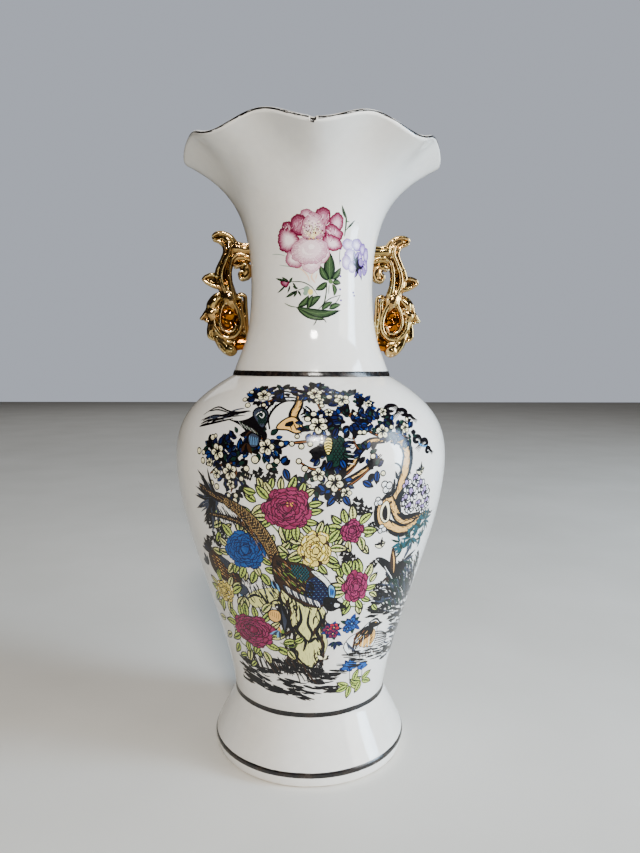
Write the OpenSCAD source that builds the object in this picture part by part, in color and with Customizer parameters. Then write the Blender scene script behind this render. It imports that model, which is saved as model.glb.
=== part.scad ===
// Ruffled-mouth baluster vase with two openwork scroll handles.
// +Z is up, the front of the vase faces -Y and the handles lie along X.
// The origin is on the table, at the centre of the foot.

/* [Foot] */
// Widest radius of the flared foot
foot_r = 49.2; // [44:0.1:54]
// Height of that widest place above the table
foot_wide_z = 6.5; // [6:0.5:9]
// Radius where the foot touches the table
foot_edge_r = 48.2; // [43:0.1:53]
// Height of the waist, where the foot meets the body
waist_z = 30.4; // [26:0.1:36]
// Radius of the waist
waist_r = 38.7; // [35:0.1:42]
// Inner radius of the bare clay ring that the vase stands on
ring_inner_r = 41.5; // [38:0.5:43]
// Depth of the recess inside that ring
recess_depth = 3.5; // [2:0.5:3.9]
// Thickness of the floor of the vase
floor_t = 5; // [3.5:0.5:8]

/* [Body] */
// Widest radius of the body
belly_r = 68; // [60:0.5:76]
// Height of that widest place
belly_z = 150; // [140:1:158]
// Height of the shoulder crease, where the body meets the neck
shoulder_z = 190.9; // [187:0.1:197]
// Radius of the shoulder crease
shoulder_r = 39.6; // [36:0.1:44]
// Thickness of the cast wall
wall = 4; // [3:0.5:5.5]

/* [Neck and mouth] */
// Smallest outer radius of the neck
neck_r = 30.4; // [27:0.1:33]
// Height of that narrowest place
neck_z = 236; // [230:1:242]
// Mean height of the outer edge of the rim
rim_z = 296.4; // [290:0.1:304]
// Mean radius of the outer edge of the rim
rim_r = 61.5; // [55:0.1:66]
// Thickness of the lip
lip_t = 3; // [2:0.5:4]
// How many lobes the mouth has
lobes = 8; // [4:1:12]
// How far each lobe droops below the mean rim, and rises between two lobes
lobe_rise = 2.6; // [0:0.1:5]
// How far each lobe stands out beyond the mean rim radius
lobe_reach = 0.9; // [0:0.1:3]
// Turn of the whole ruffle about the vertical axis
lobe_turn = -3.5; // [-22:0.5:22]

/* [Handles] */
// Height of the lowest point where a handle joins the neck
handle_z = 202; // [198:1:206]
// Size of a handle, as a factor
handle_size = 1; // [0.9:0.01:1.05]
// Width of a handle from front to back, against the thickness of its strands
handle_depth = 1.25; // [1:0.05:1.6]

/* [Enamel] */
// Thickness of every fired enamel layer
enamel_t = 0.25; // [0.15:0.05:0.4]
// Height of the black band at the shoulder
shoulder_band_h = 2.6; // [2:0.1:4]
// Height of the black band at the waist
waist_band_h = 2.6; // [1.6:0.2:4]
// Lower edge of the black band on the foot
foot_band_z = 4.4; // [3.6:0.1:5.6]
// Upper edge of the black band on the foot
foot_band_top_z = 7.6; // [6.6:0.1:9.6]
// Turn of both prints to one side of the front, as they were laid on by hand
print_turn = -5; // [-15:1:15]
// Lower edge of the printed flowers on the neck
neck_print_z = 212; // [207:1:227]
// Upper edge of the printed flowers on the neck
neck_print_top_z = 270; // [252:1:274]
// How far they reach to each side of the front, in degrees
neck_print_turn = 50; // [20:1:80]
// Lower edge of the printed garden on the body
body_print_z = 38; // [34:1:60]
// Upper edge of the printed garden on the body
body_print_top_z = 188; // [150:1:189]
// How far it reaches to each side of the front, in degrees
body_print_turn = 66; // [40:1:80]

/* [Hidden] */

porcelain = "ivory";
gold = "goldenrod";
black = [0.06, 0.06, 0.07];

turn_steps = 96;       // stations round the ruffled mouth
curve_steps = 20;      // steps along each long stretch of the outline
edge_steps = 6;        // steps round the edge of the foot
neck_steps = 6;        // steps along the lower neck
flare_steps = 15;      // steps along the flare
lip_steps = 6;         // steps round the lip
ruffle_from = 0.42;    // share of the flare below which it is plain and round
clearance = 0.05;      // keeps a flat-sided layer just off the round surface under it

// ---------- curves ----------

// A point of the cubic curve with control points p, at t from 0 to 1
function cubic(p, t) =
    (1 - t)^3 * p[0] + 3 * (1 - t)^2 * t * p[1] + 3 * (1 - t) * t^2 * p[2] + t^3 * p[3];

// The direction of that curve at t
function cubic_way(p, t) =
    (1 - t)^2 * (p[1] - p[0]) + 2 * (1 - t) * t * (p[2] - p[1]) + t^2 * (p[3] - p[2]);

// The unit normal on the right-hand side of the curve, which points out of the vase
function cubic_normal(p, t) =
    let (way = cubic_way(p, t)) [way.y, -way.x] / norm(way);

// The curve as a list of points, moved off itself along the normal
function cubic_line(p, steps, off = 0, from = 0, to = 1) =
    [for (i = [0:steps]) let (t = from + (to - from) * i / steps)
        cubic(p, t) + off * cubic_normal(p, t)];

function reversed(list) = [for (i = [len(list) - 1:-1:0]) list[i]];

// ---------- the outline, as [radius, height], from the table upwards ----------

foot_curve = [[foot_r, foot_wide_z], [foot_r - 1.4, 12], [waist_r + 0.8, waist_z - 6.4],
    [waist_r, waist_z]];
belly_curve = [[waist_r, waist_z], [waist_r + 4.4, 67], [belly_r, belly_z - 33],
    [belly_r, belly_z]];
shoulder_curve = [[belly_r, belly_z], [belly_r, belly_z + 14.6], [shoulder_r + 24.6, 177.2],
    [shoulder_r, shoulder_z]];
neck_curve = [[shoulder_r, shoulder_z], [shoulder_r - 4.8, shoulder_z + 15.4],
    [neck_r, neck_z - 28.3], [neck_r, neck_z]];
flare_curve = [[neck_r, neck_z], [neck_r, neck_z + 33], [rim_r - 20.5, rim_z - 12.9],
    [rim_r, rim_z]];

// The small rounded edge below the widest place of the foot
foot_edge_curve = [[foot_edge_r, 0.5], [foot_edge_r + 0.8, 2], [foot_r, foot_wide_z - 2.2],
    [foot_r, foot_wide_z]];

foot_line = concat(cubic_line(foot_edge_curve, edge_steps),
    cubic_line(foot_curve, curve_steps, 0, 1 / curve_steps));
body_line = concat(cubic_line(belly_curve, curve_steps),
    cubic_line(shoulder_curve, curve_steps, 0, 1 / curve_steps));
body_inner_line = concat(cubic_line(belly_curve, curve_steps, -wall),
    cubic_line(shoulder_curve, curve_steps, -wall, 1 / curve_steps));

// ---------- foot ----------

module foot() {
    floor_z = recess_depth + floor_t;
    inner_line = [for (p = cubic_line(foot_curve, curve_steps, -wall))
        if (p.y > floor_z + 1 && p.y < waist_z - 0.5) p];
    color(porcelain) rotate_extrude($fn = 128) polygon(concat(
        [[0, recess_depth], [ring_inner_r - 1.5, recess_depth], [ring_inner_r, 0],
            [foot_edge_r - 0.6, 0]],
        foot_line,
        [[waist_r - wall, waist_z]],
        reversed(inner_line),
        [[inner_line[0].x - 1, floor_z], [0, floor_z]]
    ));
}

// ---------- body ----------

module body() {
    inner_line = [for (p = body_inner_line) if (p.y > waist_z + 0.5 && p.y < shoulder_z - 2) p];
    color(porcelain) rotate_extrude($fn = 128) polygon(concat(
        body_line,
        [[shoulder_r - wall, shoulder_z]],
        reversed(inner_line),
        [[waist_r - wall, waist_z]]
    ));
}

// ---------- neck and ruffled mouth ----------

// How strongly the ruffle shows at t along the flare
function ruffle(t) = t < ruffle_from ? 0 : ((t - ruffle_from) / (1 - ruffle_from))^1.7;

// The move that the ruffle gives to a point, as [radius, height], at a turn of a degrees
function ruffle_move(t, a) =
    ruffle(t) * cos(lobes * (a - lobe_turn)) * [lobe_reach, -lobe_rise];

// Wall thickness along the flare: full at the neck, thin at the lip
function flare_wall(t) = wall + (lip_t - wall) * t;

// A point of the lip, which is a half circle from the outside, at 0, to the inside, at 180
function lip_point(angle, extra = 0) =
    let (n = cubic_normal(flare_curve, 1), way = [-n.y, n.x],
        centre = flare_curve[3] - lip_t / 2 * n)
    centre + (lip_t / 2 + extra) * (cos(angle) * n + sin(angle) * way);

// The outside of the neck and the flare, as [t along the flare, radius, height]
neck_outside = concat(
    [for (p = cubic_line(neck_curve, neck_steps)) [0, p.x, p.y]],
    [for (i = [1:flare_steps]) let (t = i / flare_steps, p = cubic(flare_curve, t)) [t, p.x, p.y]]
);

// The inside, from the lip down to the body
neck_inside = concat(
    [for (i = [flare_steps - 1:-1:1]) let (t = i / flare_steps,
        p = cubic(flare_curve, t) - flare_wall(t) * cubic_normal(flare_curve, t)) [t, p.x, p.y]],
    [for (i = [neck_steps:-1:1]) let (t = i / neck_steps,
        p = cubic(neck_curve, t) - wall * cubic_normal(neck_curve, t)) [0, p.x, p.y]],
    [[0, shoulder_r - wall, shoulder_z]]
);

// Turns a closed section into a ring of points that follows the ruffle
function ruffled(section, a) = [for (s = section)
    let (p = [s[1], s[2]] + ruffle_move(s[0], a)) [p.x * sin(a), -p.x * cos(a), p.y]];

module ruffled_ring(section) {
    n = len(section);
    polyhedron(
        points = [for (k = [0:turn_steps - 1]) each ruffled(section, 360 * k / turn_steps)],
        faces = [for (k = [0:turn_steps - 1], i = [0:n - 1])
            let (k2 = (k + 1) % turn_steps, i2 = (i + 1) % n)
            each [[k * n + i, k * n + i2, k2 * n + i], [k * n + i2, k2 * n + i2, k2 * n + i]]]
    );
}

module neck() {
    lip = [for (i = [1:lip_steps]) let (p = lip_point(180 * i / lip_steps)) [1, p.x, p.y]];
    color(porcelain) ruffled_ring(concat(neck_outside, lip, neck_inside));
}

// ---------- handles ----------

// One strand of a handle: balls along a smooth line through points [out, up, radius]
module strand(points, steps = 2) {
    last = len(points) - 1;
    line = [for (i = [0:last - 1], k = [0:steps - 1]) between(points, i, k / steps), points[last]];
    for (i = [0:len(line) - 2]) hull() {
        bead(line[i]);
        bead(line[i + 1]);
    }
}

module bead(p) {
    translate([p[0], 0, p[1]]) sphere(r = p[2], $fn = 12);
}

// A smooth line through the points: the place at share t between points i and i + 1
function between(points, i, t) =
    let (last = len(points) - 1, a = points[max(i - 1, 0)], b = points[i], c = points[i + 1],
        d = points[min(i + 2, last)])
    ((2 * b) + (c - a) * t + (2 * a - 5 * b + 4 * c - d) * t^2
        + (3 * b - a - 3 * c + d) * t^3) / 2;

// A handle of scrollwork, out along +X. Its points are [out from the axis, up, radius].
module scrollwork() {
    // Outer strand: leaf curl at the top, then down the back of the stem
    strand([[47.8, 56.6, 1.7], [44.8, 57, 2.4], [41.2, 54.8, 2.8], [40.4, 50.6, 2.8],
        [42.6, 45.8, 2.8], [45.6, 41.2, 2.8], [46, 36.4, 2.8], [43.6, 31, 2.8], [41, 26.4, 2.6]]);
    // Inner strand: roll against the neck, over the finger gap, down beside the outer strand
    strand([[33.4, 39.2, 2.9], [33.2, 43.4, 2.6], [36.4, 46.4, 2.4], [40.2, 44.8, 2.1],
        [42.2, 40.4, 2], [42, 34.6, 2], [39.8, 29, 2]]);
    // C-scroll, which goes on from the stem and round the eye
    strand([[38.4, 25, 2.2], [36, 20, 2], [35.4, 14.6, 2], [37.8, 10.2, 2], [42, 9, 2],
        [46, 11.4, 2], [47.6, 16, 2], [46.2, 20.6, 1.8]]);
    // Bracket that joins the top of the handle to the neck
    strand([[27, 51.4, 2.8], [34, 51.4, 2.8], [39.6, 51, 2.6]], 1);
    strand([[27, 47.4, 2.2], [35, 48, 2.2]], 1);
    // Spur leaf on the back of the stem
    strand([[45.6, 34.6, 2.4], [49, 36.8, 2.4], [52.8, 35.8, 2]]);
    // Acanthus leaf below the spur, out to its point, and its lower lobe
    strand([[43.6, 27.6, 2.6], [47.6, 24.6, 2.9], [49.6, 20.6, 3], [54.6, 17.4, 1.3]]);
    strand([[49.6, 19.6, 2.8], [49.2, 13.6, 2.5], [50.8, 9.6, 1.6]]);
    // Stalk under the eye, the ball at the bottom and the foot on the neck
    strand([[48, 11.6, 2], [45, 5.6, 2.4], [42, 1.2, 3.1], [37, 1, 2.2], [31, 3, 2]]);
    // Small leaf between the scroll and the neck
    strand([[33.8, 27.8, 1.4], [34.4, 21.6, 1.7], [33.4, 14, 1.9], [34.4, 6, 1.9]]);
    // Web that closes the eye of the scroll
    translate([41.4, 0, 15.6]) rotate([90, 0, 0]) cylinder(r = 6, h = 1.6, center = true, $fn = 16);
}

// The outside of the neck as a plain solid, to cut the handles off against
module neck_core() {
    outside = [for (s = neck_outside) if (s[0] < ruffle_from) [s[1], s[2]]];
    top = outside[len(outside) - 1].y;
    rotate_extrude($fn = turn_steps) polygon(concat([[0, shoulder_z]], outside, [[0, top]]));
}

module handle() {
    color(gold) difference() {
        translate([0, 0, handle_z]) scale([1, handle_depth, 1] * handle_size) scrollwork();
        neck_core();
    }
}

module handle_right() {
    handle();
}

module handle_left() {
    mirror([1, 0, 0]) handle();
}

// ---------- enamel bands, rim line and transfers ----------

// A band of enamel that lies on the outline points given, from the lower to the upper edge
module band(line) {
    color(black) rotate_extrude($fn = 128) polygon(concat(
        [for (p = line) p + [enamel_t, 0]], reversed(line)));
}

// The point between a and b that is at height z
function at_height(a, b, z) = a + (b - a) * (z - a.y) / (b.y - a.y);

module foot_band() {
    band([for (p = foot_line) if (p.y > foot_band_z && p.y < foot_band_top_z) p]);
}

module waist_band() {
    half = waist_band_h / 2;
    band(concat([for (p = foot_line) if (p.y > waist_z - half) p],
        [at_height(body_line[0], body_line[1], waist_z + half)]));
}

module shoulder_band() {
    low = [neck_outside[0][1], neck_outside[0][2]];
    high = [neck_outside[1][1], neck_outside[1][2]];
    band([low, at_height(low, high, shoulder_z + shoulder_band_h)]);
}

module rim_line() {
    angles = [for (i = [1:3]) 180 * i / lip_steps];
    color(black) ruffled_ring(concat(
        [for (a = angles) let (p = lip_point(a, enamel_t)) [1, p.x, p.y]],
        [for (a = reversed(angles)) let (p = lip_point(a)) [1, p.x, p.y]]
    ));
}

// A thin oval sheet on the front of the vase, over the outline points given. Its rows are those
// points, and half_turn is how far it reaches to each side, in degrees, where it is widest.
module transfer(line, half_turn, columns) {
    rows = len(line) - 1;
    middle = (line[0].y + line[rows].y) / 2;
    half_height = (line[rows].y - line[0].y) / 2 * 1.03;      // a little more, for blunt ends
    function place(p, u, extra) =
        let (v = (p.y - middle) / half_height, r = p.x + clearance + extra,
            a = print_turn + u * half_turn * sqrt(1 - v * v))
        [r * sin(a), -r * cos(a), p.y];
    sheet = [for (extra = [0, enamel_t], p = line, j = [0:columns])
        place(p, 2 * j / columns - 1, extra)];
    w = columns + 1;
    top = (rows + 1) * w;
    edge = concat([for (j = [0:columns]) j], [for (i = [1:rows]) i * w + columns],
        [for (j = [columns - 1:-1:0]) rows * w + j], [for (i = [rows - 1:-1:1]) i * w]);
    polyhedron(points = sheet, faces = concat(
        [for (i = [0:rows - 1], j = [0:columns - 1]) let (q = i * w + j)
            each [[q, q + 1, q + w], [q + 1, q + w + 1, q + w]]],
        [for (i = [0:rows - 1], j = [0:columns - 1]) let (q = top + i * w + j)
            each [[q, q + w, q + 1], [q + 1, q + w, q + w + 1]]],
        [for (k = [0:len(edge) - 1]) let (a = edge[k], b = edge[(k + 1) % len(edge)])
            each [[a, top + a, b], [b, top + a, top + b]]]
    ));
}

module neck_transfer() {
    line = [for (s = neck_outside) [s[1], s[2]]];
    color("palevioletred") transfer([for (p = line) if (p.y > neck_print_z
        && p.y < neck_print_top_z) p], neck_print_turn, 20);
}

module body_transfer() {
    color("slategray") transfer([for (p = body_line) if (p.y > body_print_z
        && p.y < body_print_top_z) p], body_print_turn, 30);
}

foot();
body();
neck();
handle_left();
handle_right();
shoulder_band();
waist_band();
foot_band();
rim_line();
neck_transfer();
body_transfer();
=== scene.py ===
import math
import random

import bmesh
import bpy
import numpy as np
from mathutils import Matrix, Vector, noise
from mathutils.geometry import delaunay_2d_cdt


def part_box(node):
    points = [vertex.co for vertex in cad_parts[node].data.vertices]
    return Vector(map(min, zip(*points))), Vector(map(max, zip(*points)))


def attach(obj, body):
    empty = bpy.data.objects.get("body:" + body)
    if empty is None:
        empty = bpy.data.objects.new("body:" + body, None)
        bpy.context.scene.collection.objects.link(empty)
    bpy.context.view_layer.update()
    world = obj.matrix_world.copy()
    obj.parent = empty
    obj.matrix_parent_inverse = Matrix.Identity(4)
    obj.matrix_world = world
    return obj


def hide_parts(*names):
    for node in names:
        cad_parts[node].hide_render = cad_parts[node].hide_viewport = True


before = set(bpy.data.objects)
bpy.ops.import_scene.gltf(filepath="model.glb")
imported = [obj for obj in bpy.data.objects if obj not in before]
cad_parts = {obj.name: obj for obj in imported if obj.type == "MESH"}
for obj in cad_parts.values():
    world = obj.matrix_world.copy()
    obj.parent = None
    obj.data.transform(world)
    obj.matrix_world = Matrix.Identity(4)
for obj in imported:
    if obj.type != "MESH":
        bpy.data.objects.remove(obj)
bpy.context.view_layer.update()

MM = 0.001
PRINT_TURN = math.radians(-5)      # the prints were laid on a little to the left of the front


# ---------- sizes, read from the frame, in millimetres ----------

def low(node):
    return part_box(node)[0] / MM


def high(node):
    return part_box(node)[1] / MM


foot_r = high("foot").x
waist_z = low("body").z
waist_r = high("waist_band").x - 0.4
belly_r = high("body").x
belly_z = 150.0
shoulder_z = low("neck").z
shoulder_r = high("shoulder_band").x - 0.25
neck_r = 30.4
neck_z = 236.0
rim_r = 61.5
rim_z = 296.4
wall = 4.0
lip_t = 3.0
lobes = 8
lobe_rise = 2.6
lobe_reach = 0.9
lobe_turn = math.radians(-3.5)
ruffle_from = 0.42
recess_depth = 3.5
floor_t = 5.0
ring_inner_r = 41.5
foot_edge_r = foot_r - 1.0
foot_wide_z = 6.5

FOOT_EDGE = [(foot_edge_r, 0.5), (foot_edge_r + 0.8, 2), (foot_r, foot_wide_z - 2.2),
             (foot_r, foot_wide_z)]
FOOT = [(foot_r, foot_wide_z), (foot_r - 1.4, 12), (waist_r + 0.8, waist_z - 6.4),
        (waist_r, waist_z)]
BELLY = [(waist_r, waist_z), (waist_r + 4.4, 67), (belly_r, belly_z - 33), (belly_r, belly_z)]
SHOULDER = [(belly_r, belly_z), (belly_r, belly_z + 14.6), (shoulder_r + 24.6, 177.2),
            (shoulder_r, shoulder_z)]
NECK = [(shoulder_r, shoulder_z), (shoulder_r - 4.8, shoulder_z + 15.4),
        (neck_r, neck_z - 28.3), (neck_r, neck_z)]
FLARE = [(neck_r, neck_z), (neck_r, neck_z + 33), (rim_r - 20.5, rim_z - 12.9), (rim_r, rim_z)]


# ---------- curves ----------

def cubic(points, t):
    a, b, c, d = (Vector(p) for p in points)
    s = 1 - t
    return s ** 3 * a + 3 * s * s * t * b + 3 * s * t * t * c + t ** 3 * d


def cubic_normal(points, t):
    a, b, c, d = (Vector(p) for p in points)
    s = 1 - t
    way = s * s * (b - a) + 2 * s * t * (c - b) + t * t * (d - c)
    return Vector((way.y, -way.x)).normalized()


def spline(points, steps, closed=False):
    """A smooth line through the points, with that many steps from one to the next."""
    points = [Vector(p) for p in points]
    count = len(points)
    line = []
    for i in range(count if closed else count - 1):
        if closed:
            a, b, c, d = (points[(i + k) % count] for k in (-1, 0, 1, 2))
        else:
            a, b, c, d = (points[min(max(i + k, 0), count - 1)] for k in (-1, 0, 1, 2))
        for k in range(steps):
            t = k / steps
            line.append((2 * b + (c - a) * t + (2 * a - 5 * b + 4 * c - d) * t * t
                         + (3 * b - a - 3 * c + d) * t ** 3) / 2)
    if not closed:
        line.append(points[-1])
    return line


# ---------- materials ----------

def srgb(red, green, blue):
    """A colour given as display values from 0 to 255, as the shaders take it."""
    def linear(value):
        value /= 255
        return value / 12.92 if value <= 0.04045 else ((value + 0.055) / 1.055) ** 2.4
    return (linear(red), linear(green), linear(blue), 1.0)


class Shader:
    """A material with one Principled shader, and short calls that wire nodes to it."""

    def __init__(self, name, color, roughness, **constants):
        self.material = bpy.data.materials.new(name)
        self.material.use_nodes = True
        self.tree = self.material.node_tree
        self.skin = self.tree.nodes["Principled BSDF"]
        self.place = self.tree.nodes.new("ShaderNodeTexCoord").outputs["Object"]
        self.set("Base Color", color)
        self.set("Roughness", roughness)
        self.material.diffuse_color = color
        for socket, value in constants.items():
            self.set(socket.replace("_", " "), value)

    def set(self, socket, value):
        self.skin.inputs[socket].default_value = value

    def link(self, output, socket):
        self.tree.links.new(output, self.skin.inputs[socket])

    def node(self, kind, **inputs):
        made = self.tree.nodes.new("ShaderNode" + kind)
        for socket, value in inputs.items():
            self.feed(made, socket.replace("_", " "), value)
        return made

    def feed(self, made, socket, value):
        if isinstance(value, bpy.types.NodeSocket):
            self.tree.links.new(value, made.inputs[socket])
        else:
            made.inputs[socket].default_value = value

    def noise(self, size_mm, detail=3.0, seed=0.0):
        """Soft noise from 0 to 1 with patches about that big."""
        place = self.place
        if seed:
            moved = self.node("VectorMath", Vector=place)
            moved.operation = "ADD"
            self.feed(moved, 1, (seed, seed, seed))
            place = moved.outputs[0]
        made = self.node("TexNoise", Vector=place, Scale=1 / (size_mm * MM), Detail=detail)
        return made.outputs["Fac"]

    def ramp(self, value, *stops):
        """A colour for each value: stops are (value, colour)."""
        made = self.node("ValToRGB", Fac=value)
        points = made.color_ramp.elements
        while len(points) < len(stops):
            points.new(0.5)
        for point, (at, color) in zip(points, stops):
            point.position = at
            point.color = color
        return made.outputs["Color"]

    def spread(self, value, from_low, from_high, to_low, to_high):
        made = self.node("MapRange", Value=value, From_Min=from_low, From_Max=from_high,
                         To_Min=to_low, To_Max=to_high)
        return made.outputs["Result"]

    def mix(self, share, first, second, blend="MIX"):
        made = self.tree.nodes.new("ShaderNodeMix")
        made.data_type = "RGBA"
        made.blend_type = blend
        for index, value in ((0, share), (6, first), (7, second)):
            self.feed(made, index, value)
        return made.outputs[2]

    def bump(self, height, depth_mm, strength=1.0, under=None):
        made = self.node("Bump", Height=height, Distance=depth_mm * MM, Strength=strength)
        if under:
            self.feed(made, "Normal", under)
        return made.outputs["Normal"]


def white(value):
    return (value, value, value, 1.0)


def make_glaze():
    """Thick clear glaze over white porcelain: warm pools, fine ripples and stray dark specks."""
    shader = Shader("cream_glaze", srgb(238, 234, 226), 0.08, Specular_IOR_Level=0.55)
    cloud = shader.ramp(shader.noise(38, 4), (0.35, srgb(241, 238, 232)),
                        (0.62, srgb(236, 231, 222)))
    fine = shader.ramp(shader.noise(3.5, 5, seed=1), (0.3, white(0.955)), (0.7, white(1.0)))
    clay = shader.mix(1.0, cloud, fine, "MULTIPLY")
    cells = shader.node("TexVoronoi", Vector=shader.place, Scale=1 / (9 * MM))
    speck = shader.spread(cells.outputs["Distance"], 0.012, 0.03, 1.0, 0.0)
    rare = shader.spread(shader.noise(24, 1, seed=2), 0.5, 0.56, 0.0, 0.85)
    amount = shader.node("Math")
    amount.operation = "MULTIPLY"
    shader.feed(amount, 0, speck)
    shader.feed(amount, 1, rare)
    shader.link(shader.mix(amount.outputs[0], clay, srgb(92, 74, 58)), "Base Color")
    shader.link(shader.spread(shader.noise(6, 4), 0.3, 0.7, 0.05, 0.12), "Roughness")
    ripple = shader.bump(shader.noise(11, 2, seed=3), 0.05, 0.6)
    shader.link(shader.bump(shader.noise(1.6, 3, seed=4), 0.006, 0.6, under=ripple), "Normal")
    return shader.material


def make_bisque():
    """Bare fired clay where the glaze is missing: matt, chalky and a little dirty."""
    shader = Shader("bare_clay", srgb(214, 203, 186), 0.85)
    dirt = shader.ramp(shader.noise(5, 6), (0.35, srgb(176, 160, 138)), (0.6, srgb(222, 213, 198)))
    shader.link(dirt, "Base Color")
    shader.link(shader.bump(shader.noise(0.7, 6), 0.12, 0.8), "Normal")
    return shader.material


def make_enamel():
    """Black overglaze enamel, brushed on: glossy, a little brown where it is thin."""
    shader = Shader("black_enamel", srgb(16, 14, 14), 0.2)
    thin = shader.ramp(shader.noise(4, 5), (0.5, srgb(14, 12, 13)), (0.78, srgb(52, 40, 32)))
    shader.link(thin, "Base Color")
    shader.link(shader.spread(shader.noise(2.5, 4, seed=2), 0.3, 0.7, 0.14, 0.34), "Roughness")
    shader.link(shader.bump(shader.noise(1.2, 3), 0.03, 0.7), "Normal")
    return shader.material


def make_gold(name, tones):
    """Liquid gold lustre. Its colour carries painted light, following the surface's pointiness:
    a painted highlight on the ridges, painted shade (dark or amber) in the hollows.
    """
    shader = Shader(name, srgb(*tones[2]), 0.16, Metallic=1.0)
    shape = shader.tree.nodes.new("ShaderNodeNewGeometry").outputs["Pointiness"]
    # Painted light: dark colour in the hollows is painted shade, bright colour on the ridges is a
    # painted highlight
    painted_shading = shader.ramp(shape, *((at, srgb(*tone)) for at, tone in
                                  zip((0.41, 0.475, 0.515, 0.58), tones)))
    tint = shader.ramp(shader.noise(6, 3), (0.35, srgb(255, 236, 214)), (0.65, srgb(246, 250, 228)))
    shader.link(shader.mix(1.0, painted_shading, tint, "MULTIPLY"), "Base Color")
    shader.link(shader.spread(shader.noise(3, 4, seed=1), 0.3, 0.7, 0.06, 0.2), "Roughness")
    shader.link(shader.bump(shader.noise(1.4, 3), 0.05, 0.6), "Normal")
    return shader.material


def make_floor_paint():
    shader = Shader("floor_paint", srgb(226, 223, 215), 0.6)
    tone = shader.ramp(shader.noise(120, 5), (0.3, srgb(222, 219, 211)), (0.7, srgb(232, 229, 222)))
    shader.link(tone, "Base Color")
    shader.link(shader.bump(shader.noise(7, 6), 0.25, 0.4), "Normal")
    return shader.material


GLAZE = make_glaze()
BISQUE = make_bisque()
ENAMEL = make_enamel()
GOLD = make_gold("gold_lustre", ((34, 20, 10), (108, 78, 40), (190, 162, 112), (250, 240, 212)))
# Amber gold for the handle's hollow and web: painted shade of concave gold, laid on flat faces
GOLD_PAINTED_SHADE = make_gold("gold_painted_shade", ((50, 18, 6), (116, 62, 16), (160, 102, 32), (226, 176, 84)))


# ---------- meshes ----------

def add_mesh(name, points, faces, materials, slots=None):
    """A smooth mesh object from points in millimetres."""
    mesh = bpy.data.meshes.new(name)
    mesh.from_pydata([Vector(p) * MM for p in points], [], faces)
    for material in materials:
        mesh.materials.append(material)
    if slots:
        mesh.polygons.foreach_set("material_index", slots)
    mesh.polygons.foreach_set("use_smooth", [True] * len(mesh.polygons))
    mesh.update()
    made = bpy.data.objects.new(name, mesh)
    bpy.context.scene.collection.objects.link(made)
    return made


def settle(piece, node):
    """Every piece of the vase rides on the one body and stands for one node of the frame."""
    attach(piece, "root")
    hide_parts(node)


def round_place(radius, angle, height):
    return Vector((radius * math.sin(angle), -radius * math.cos(angle), height))


def hand_thrown(angle, height):
    """How far the glazed wall stands off its true outline: soft, shallow waves."""
    at = Vector((math.sin(angle), math.cos(angle), height / 45))
    return 0.11 * noise.noise(at * 2.1 + Vector((3, 1, 7)))


def turned(name, loop, columns, materials, slot_of, shift, closed=True):
    """Revolves a loop of (radius, height) points. shift(index, angle) moves a point, and
    slot_of(index, column) picks a face's material. A line that isn't closed gets a flat cap
    on its first and last ring."""
    points = []
    for k in range(columns):
        angle = 2 * math.pi * k / columns
        for i, (radius, height) in enumerate(loop):
            out, up = shift(i, angle)
            points.append(round_place(radius + out, angle, height + up))
    n = len(loop)
    faces, slots = [], []
    for k in range(columns):
        after = (k + 1) % columns
        for i in range(n if closed else n - 1):
            j = (i + 1) % n
            faces.append((k * n + i, after * n + i, after * n + j, k * n + j))
            slots.append(slot_of(i, k) if slot_of else 0)
    if not closed:
        faces.append(tuple(k * n for k in reversed(range(columns))))
        faces.append(tuple(k * n + n - 1 for k in range(columns)))
        slots += [0, 0]
    return add_mesh(name, points, faces, materials, slots)


def line_of(points, steps, off=0.0, start=0.0, end=1.0):
    rows = []
    for i in range(steps + 1):
        t = start + (end - start) * i / steps
        p = cubic(points, t) + off * cubic_normal(points, t)
        rows.append((p.x, p.y))
    return rows


def sharpen(piece, degrees=35):
    piece.data.set_sharp_from_angle(angle=math.radians(degrees))
    return piece


TURN_STEPS = 256
NECK_STEPS = 480
LIP_STEPS = 14
EASE = 8      # rings over which the waves die out towards a joint


def make_foot():
    """The foot: flared skirt, unglazed ring to stand on, glazed recess and bowl-shaped inside."""
    floor_z = recess_depth + floor_t
    inner = [p for p in line_of(FOOT, 40, -wall) if floor_z + 2 < p[1] < waist_z - 0.5]
    corner = [(inner[0][0] - 0.25, floor_z + 0.9), (inner[0][0] - 1.2, floor_z + 0.2),
              (inner[0][0] - 2.6, floor_z)]
    under = [(2, recess_depth), (20, recess_depth), (ring_inner_r - 3.5, recess_depth),
             (ring_inner_r - 1.8, recess_depth - 0.4), (ring_inner_r - 0.7, 0.9),
             (ring_inner_r, 0.15), (ring_inner_r + 0.6, 0), (foot_edge_r - 2, 0),
             (foot_edge_r - 0.9, 0.06)]
    outer = line_of(FOOT_EDGE, 14) + line_of(FOOT, 60)[1:]
    bowl = inner[::-1] + corner + [(20, floor_z), (2, floor_z)]
    loop = under + outer + [(waist_r - wall, waist_z)] + bowl
    bare = range(4, len(under) + 1)

    def shift(i, angle):
        if len(under) < i < len(under) + len(outer) - 6:
            return hand_thrown(angle, loop[i][1]), 0
        return 0, 0

    def slot_of(i, k):
        return int(i in bare)

    piece = turned("foot_glazed", loop, TURN_STEPS, [GLAZE, BISQUE], slot_of, shift, closed=False)
    settle(sharpen(piece), "foot")


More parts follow.
